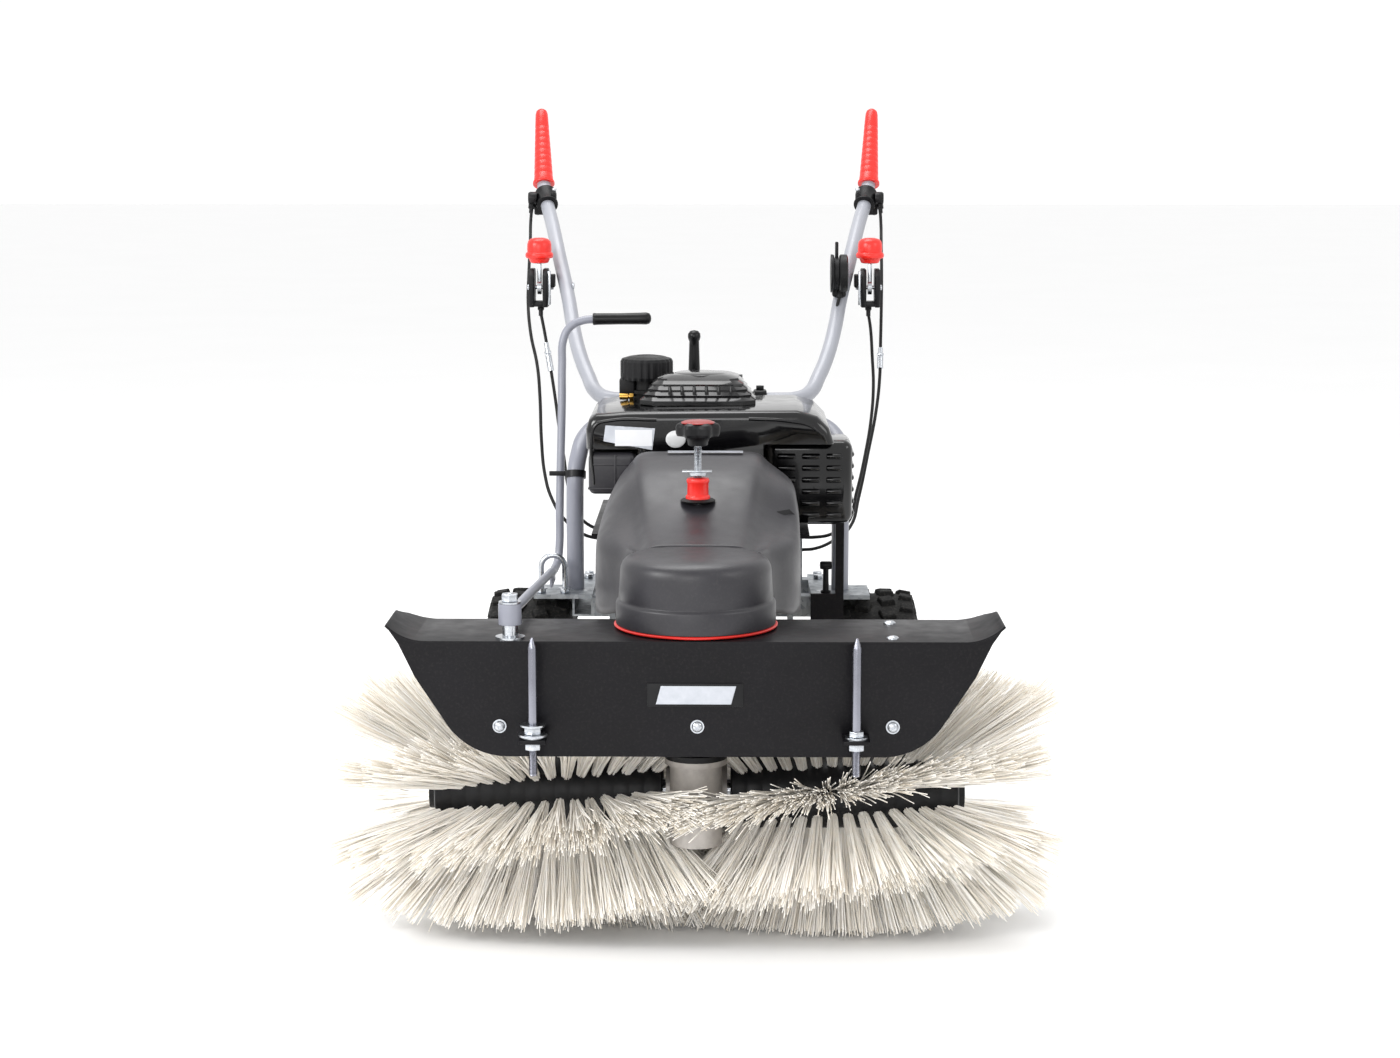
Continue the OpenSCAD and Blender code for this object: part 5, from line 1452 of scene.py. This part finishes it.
    def cables(self) -> None:
        """Makes the cables, their adjusters and the cable strap."""
        left = [
            [(-279, 1034, 868), (-280, 1022, 845), (-279, 1000, 822), (-278, 950, 770), (-277, 915, 725), (-270, 872,
                680),
             (-256, 820, 632), (-250, 785, 586), (-247, 765, 527), (-240, 735, 477), (-227, 705, 443), (-208, 692, 415),
             (-180, 690, 393), (-148, 690, 385)],
            [(-253, 860, 712), (-246, 850, 679), (-236, 832, 625), (-228, 806, 584), (-220, 770, 542), (-210, 720, 505),
             (-202, 690, 465), (-190, 676, 430), (-168, 674, 408), (-148, 674, 403)]]
        right = [
            [(279, 1034, 868), (280, 1022, 845), (279, 990, 815), (278, 950, 765), (276, 915, 715), (274, 890, 662),
                (272, 868, 612),
             (266, 845, 565), (251, 800, 500), (236, 760, 440), (222, 725, 400), (195, 700, 382), (168, 690, 372),
                 (148, 690, 370)],
            [(253, 860, 712), (256, 848, 690), (258, 830, 650), (259, 805, 605), (255, 780, 560), (245, 745, 510),
             (230, 705, 455), (214, 680, 410), (190, 673, 396), (166, 672, 392), (148, 672, 392)],
            [(207, 820, 742), (200, 812, 715), (190, 796, 682), (174, 772, 640), (162, 745, 598), (151, 700, 570),
             (138, 660, 552), (118, 628, 545), (100, 601, 545)]]
        for word, runs in (("left", left), ("right", right)):
            shape = Shape()
            for run in runs:
                shape.tube(line_of(run), 2.5, sides=2)
            shape.done(f"{word}_cable_runs", SOFT_BLACK, "chassis", "black_rubber", [f"{word}_cables"], crease=60)
        screws = Shape()
        for low, high in (((-236, 832, 625), (-245, 848, 672)), ((272.5, 874, 626), (274, 889, 660))):
            run = Vector(high) - Vector(low)
            length = run.length
            screws.lathe([(2.7, 0), (4.8, 0), (4.8, length * 0.5), (3.6, length * 0.52), (3.6, length * 0.9), (2.7,
                length * 0.92)], at(*low), run.normalized(), 18)
            screws.hex_head(at(*(Vector(low) + 0.55 * run)), 12, 4, run.normalized())
        screws.done("cable_adjusters", ZINC, "chassis", "zinc_steel", ["cable_fittings"], crease=35)
        strap = Shape()
        strap.block(at(-222, 571, 497), at(-190, 574, 504), 1)
        strap.lathe([(12.7, -5), (15, -5), (15, 5), (12.7, 5), (12.7, -5)], at(-183, 563, 500),
            Vector((0, 0.3, 0.95)), 32)
        strap.done("cable_strap", PLAIN_BLACK, "chassis", "black_plastic")

    def build(self) -> None:
        """Makes all pieces of the handles."""
        self.tubes()
        self.grip_pair()
        self.perches()
        self.housings()
        self.mushrooms()
        self.cables()
        clamps = Shape()
        for side in (-1, 1):
            clamps.block(at(side * 84 - 10, 635, 560), at(side * 84 + 10, 665, 615), 4, 4)
            clamps.hex_head(at(side * 84, 650, 615), 13, 6)
        clamps.done("handle_clamp_blocks", PLAIN_BLACK, "chassis", "black_plastic", ["handle_clamps"])


@dataclass
class Wheels:
    """The block-tread tyres on pressed rims.

    Attributes:
        radius: radius over the tread.
        half_track: distance of a tyre's middle from the machine's middle.
        blocks: tread blocks round the tyre in one row.
    """

    radius: float = 162.0
    half_track: float = 251.0
    blocks: int = 26

    def build(self) -> None:
        """Makes both tyres and dresses the rims."""
        for side, word in ((-1, "left"), (1, "right")):
            hub = at(side * self.half_track, 605, self.radius)
            r = self.radius
            outline = [(76.2, -44), (88, -50), (r - 50, -57), (r - 34, -60.5), (r - 18, -60), (r - 9, -55), (r - 7.5,
                -40), (r - 7, 0),
                       (r - 7.5, 40), (r - 9, 55), (r - 18, 60), (r - 34, 60.5), (r - 50, 57), (88, 50), (76.2, 44),
                           (76.2, 36),
                       (86, 30), (86, -30), (76.2, -36), (76.2, -44)]
            shape = Shape().lathe(outline, hub, Along.X, 72)
            for number in range(self.blocks):
                for row, (x, wide, long_, turn) in enumerate(((-46, 21, 19, 8), (-17, 22, 21, -18), (17, 22, 21, 18),
                    (46, 21, 19, -8))):
                    lug = bmesh.new()
                    bmesh.ops.create_cube(lug, size=1.0)
                    bmesh.ops.scale(lug, vec=(wide * MM, long_ * MM, 9 * MM), verts=lug.verts)
                    top = [f for f in lug.faces if f.normal.z > 0.9]
                    bmesh.ops.scale(lug, vec=(0.86, 0.84, 1), verts=[v for f in top for v in f.verts])
                    bmesh.ops.bevel(lug, geom=[e for f in top for e in f.edges], offset=1.2 * MM, segments=1,
                        affect="EDGES", profile=0.5, material=-1)
                    drop = 2.6 if row in (0, 3) else 0.0
                    angle = math.tau * (number + (0.5 if row % 2 else 0.0)) / self.blocks
                    shape.take(lug, Matrix.Translation(hub) @ Matrix.Rotation(angle, 4, "X")
                               @ Matrix.Translation((x * MM, 0, (r - 4.6 - drop) * MM))
                               @ Matrix.Rotation(math.radians(10 * (x > 30) - 10 * (x < -30)), 4, "Y")
                               @ Matrix.Rotation(math.radians(turn), 4, "Z"))
                for edge in (-1, 1):
                    lug = bmesh.new()
                    bmesh.ops.create_cube(lug, size=1.0)
                    bmesh.ops.scale(lug, vec=(5 * MM, 15 * MM, 20 * MM), verts=lug.verts)
                    bmesh.ops.bevel(lug, geom=lug.edges[:], offset=1.4 * MM, segments=1, affect="EDGES", profile=0.5,
                        material=-1)
                    angle = math.tau * (number + (0.5 if edge > 0 else 0.0)) / self.blocks
                    shape.take(lug, Matrix.Translation(hub) @ Matrix.Rotation(angle, 4, "X")
                               @ Matrix.Translation((edge * 58.4 * MM, 0, (r - 21) * MM))
                               @ Matrix.Rotation(math.radians(-edge * 14), 4, "Y"))
            shape.done(f"{word}_tread_tyre", TYRE_RUBBER, f"{word}_wheel", "tyre_rubber", [f"{word}_tyre"], crease=35)
            dress(RIM_WHITE, f"{word}_rim")
            nuts = Shape()
            for number in range(5):
                a = math.radians(72 * number + 36)
                nuts.hex_head(hub + Vector((side * 2 * MM, 40 * math.cos(a) * MM, 40 * math.sin(a) * MM)), 12, 7,
                              Vector((side, 0, 0)))
            nuts.done(f"{word}_wheel_bolts", ZINC, f"{word}_wheel", "zinc_steel")


@dataclass
class Chassis:
    """The galvanised frame with the swivel rod, its guide, the gear lever and the key."""

    rod_path: list[tuple[float, float, float]] = field(default_factory=lambda: [
        (-218.5, -138, 430), (-217, -60, 422), (-216, 100, 407), (-215, 300, 388), (-214, 480, 371), (-213, 548, 366),
            (-210, 570, 375),
        (-208, 578, 400), (-208, 584, 440), (-207, 602, 520), (-206, 622, 600), (-206, 634, 655), (-204, 638, 690),
            (-194, 641, 708),
        (-176, 643, 717), (-158, 644, 719)])

    def rod(self) -> None:
        """Makes the bent swivel rod with its eye and comb, and the dipped grip."""
        shape = Shape().tube(line_of(self.rod_path), 6, sides=6)
        shape.lathe([(7.1, 0), (13.5, 0), (13.8, 1), (13.8, 24), (13.5, 25), (7.1, 25), (7.1, 0)], at(-219, -148,
            416), Along.Z, 36)
        shape.block(at(-216, 478, 354), at(-212, 542, 366), 0.5)
        for y in range(478, 541, 14):
            shape.block(at(-216, y, 349), at(-212, min(y + 8, 542), 355), 0.5)
        shape.done("swivel_rod_tube", POST_GREY, "swivel_rod", "grey_coat", ["swivel_rod"], crease=45)
        grip = Shape().lathe([(6.2, 0), (8.2, 0), (8.9, 1.4), (8.6, 6), (8.3, 40), (8.7, 70), (9, 78), (7.8, 82.6),
            (4, 85), (0, 85.6)], at(-161, 644, 719), Vector((1, 0, 0.013)), 32)
        grip.done("swivel_rod_sleeve", DIP_BLACK, "swivel_rod", "black_rubber", ["rod_grip"], crease=50)

    def guide(self) -> None:
        """Makes the U-bolt guide with its nuts and washers."""
        arch = [(-231, 520, 336), (-231, 520, 355), (-231, 520, 372)]
        arch += [(-214 - 17 * math.cos(math.radians(a)), 520, 372 + 17 * math.sin(math.radians(a))) for a in range(20,
            161, 20)]
        arch += [(-197, 520, 372), (-197, 520, 355), (-197, 520, 336)]
        shape = Shape().tube(line_of(arch), 4, smooth=False, sides=5)
        for x in (-231, -197):
            shape.hex_head(at(x, 520, 334.2), 15, 6)
            shape.lathe([(4, 0), (9, 0), (9, 1.4), (4, 1.4)], at(x, 520, 340.2), Along.Z, 24)
        shape.done("u_bolt_guide", ZINC, "chassis", "zinc_steel", ["rod_guide"], crease=40)

    def lever(self) -> None:
        """Makes the gear lever's rod and its black sleeve, and the T-handled key."""
        shape = Shape().tube(line_of([(-14, 732, 258), (-14, 732, 480), (-13, 732, 640)]), 5)
        shape.lathe([(0, 0), (10, 0), (10, 16), (0, 16)], at(-22, 732, 258), Along.X, 28)
        shape.lathe([(0, 0), (5, 0), (5, 34), (0, 34)], at(-31, 732, 258), Along.X, 24)
        shape.done("gear_lever_rod", ZINC, "gear_lever", "zinc_steel", ["gear_lever"], crease=45)
        sleeve = Shape().lathe([(5, 0), (8.4, 0), (8.8, 2), (8.2, 20), (7.6, 40), (7.4, 48), (8.6, 50), (9.6, 54),
            (9.2, 59), (6, 63), (0, 64.4)], at(-14, 732, 632), Along.Z, 32)
        sleeve.done("gear_lever_sleeve", DIP_BLACK, "gear_lever", "black_plastic", crease=60)
        key = Shape().lathe([(0, 312), (4, 312), (4, 334.6), (7, 334.6), (7.4, 339), (4.4, 340), (4, 372), (0, 374)],
            at(178, 514, 0), Along.Z, 24)
        key.lathe([(0, 0), (5, 0.6), (6, 3), (6, 15), (5, 17.4), (0, 18)], at(169, 514, 376), Along.X, 20)
        key.done("t_key", PLAIN_BLACK, "lock_key", "black_plastic", ["lock_key"], crease=40)

    def build(self) -> None:
        """Makes the chassis pieces and dresses the frame."""
        self.rod()
        self.guide()
        self.lever()
        dress(GALVANISED, "chassis_frame")
        dress(HOOD_BLACK, "engine_deck")
        bolts = Shape()
        for x in (-172, 172):
            for y in (541, 680, 706):
                bolts.hex_head(at(x, y, 328.2), 15, 6)
        bolts.done("rail_bolts", ZINC, "chassis", "zinc_steel")


@dataclass
class Studio:
    """The pale floor, soft lights and the camera."""

    eye: tuple[float, float, float] = (45.0, -3200.0, 1000.0)
    tilt: float = 81.25
    turn: float = 0.733
    lens: float = 67.5

    def light(self, name: str, place: Vector, aim: Vector, size: float, power: float) -> None:
        """Adds one soft panel.

        Args:
            name: its name.
            place: where it stands.
            aim: the point that it faces.
            size: edge length in metres.
            power: power in watts.
        """
        lamp = bpy.data.lights.new(name, "AREA")
        lamp.shape = "RECTANGLE"
        lamp.size, lamp.size_y, lamp.energy = size, size * 0.7, power
        holder = bpy.data.objects.new(name, lamp)
        holder.location = place
        holder.rotation_euler = (aim - place).to_track_quat("-Z", "Y").to_euler()
        bpy.context.scene.collection.objects.link(holder)

    def build(self) -> None:
        """Makes the camera, the floor, the world and the lights."""
        camera = bpy.data.cameras.new("camera")
        camera.lens, camera.sensor_width = self.lens, 36.0
        camera.clip_end = 200
        holder = bpy.data.objects.new("camera", camera)
        holder.location = at(*self.eye)
        holder.rotation_euler = (math.radians(self.tilt), 0, math.radians(self.turn))
        bpy.context.scene.collection.objects.link(holder)
        bpy.context.scene.camera = holder
        ground = bmesh.new()
        bmesh.ops.create_grid(ground, x_segments=8, y_segments=8, size=30)
        mesh = bpy.data.meshes.new("floor")
        ground.to_mesh(mesh)
        ground.free()
        plane = bpy.data.objects.new("floor", mesh)
        bpy.context.scene.collection.objects.link(plane)
        plane.data.materials.append(FLOOR_WHITE.material())
        world = bpy.data.worlds.new("studio")
        bpy.context.scene.world = world
        world.use_nodes = True
        world.node_tree.nodes["Background"].inputs["Color"].default_value = (1, 1, 1, 1)
        world.node_tree.nodes["Background"].inputs["Strength"].default_value = 1.04
        self.light("left_panel", Vector((-2.8, -2.2, 2.2)), Vector((0, 0, 0.3)), 1.6, 80)
        self.light("right_panel", Vector((2.8, -1.8, 2.2)), Vector((0, 0, 0.4)), 1.6, 20)
        self.light("front_panel", Vector((-0.6, -3.6, 1.5)), Vector((0, -0.4, 0.2)), 1.8, 28)
        self.light("top_panel", Vector((-0.4, 0.6, 3.2)), Vector((0, 0, 0.3)), 2.2, 60)
        bpy.context.scene.view_settings.view_transform = "Standard"
        bpy.context.scene.view_settings.exposure = 0.0


def main() -> None:
    """Builds the studio and the machine, part by part."""
    logging.basicConfig(level=logging.INFO, format="%(message)s")
    for part in (Studio(), Brush(), Hood(), BeltCover(), Engine(), Handles(), Wheels(), Chassis()):
        LOG.info("building %s", type(part).__name__)
        part.build()


if __name__ == "__main__":
    main()
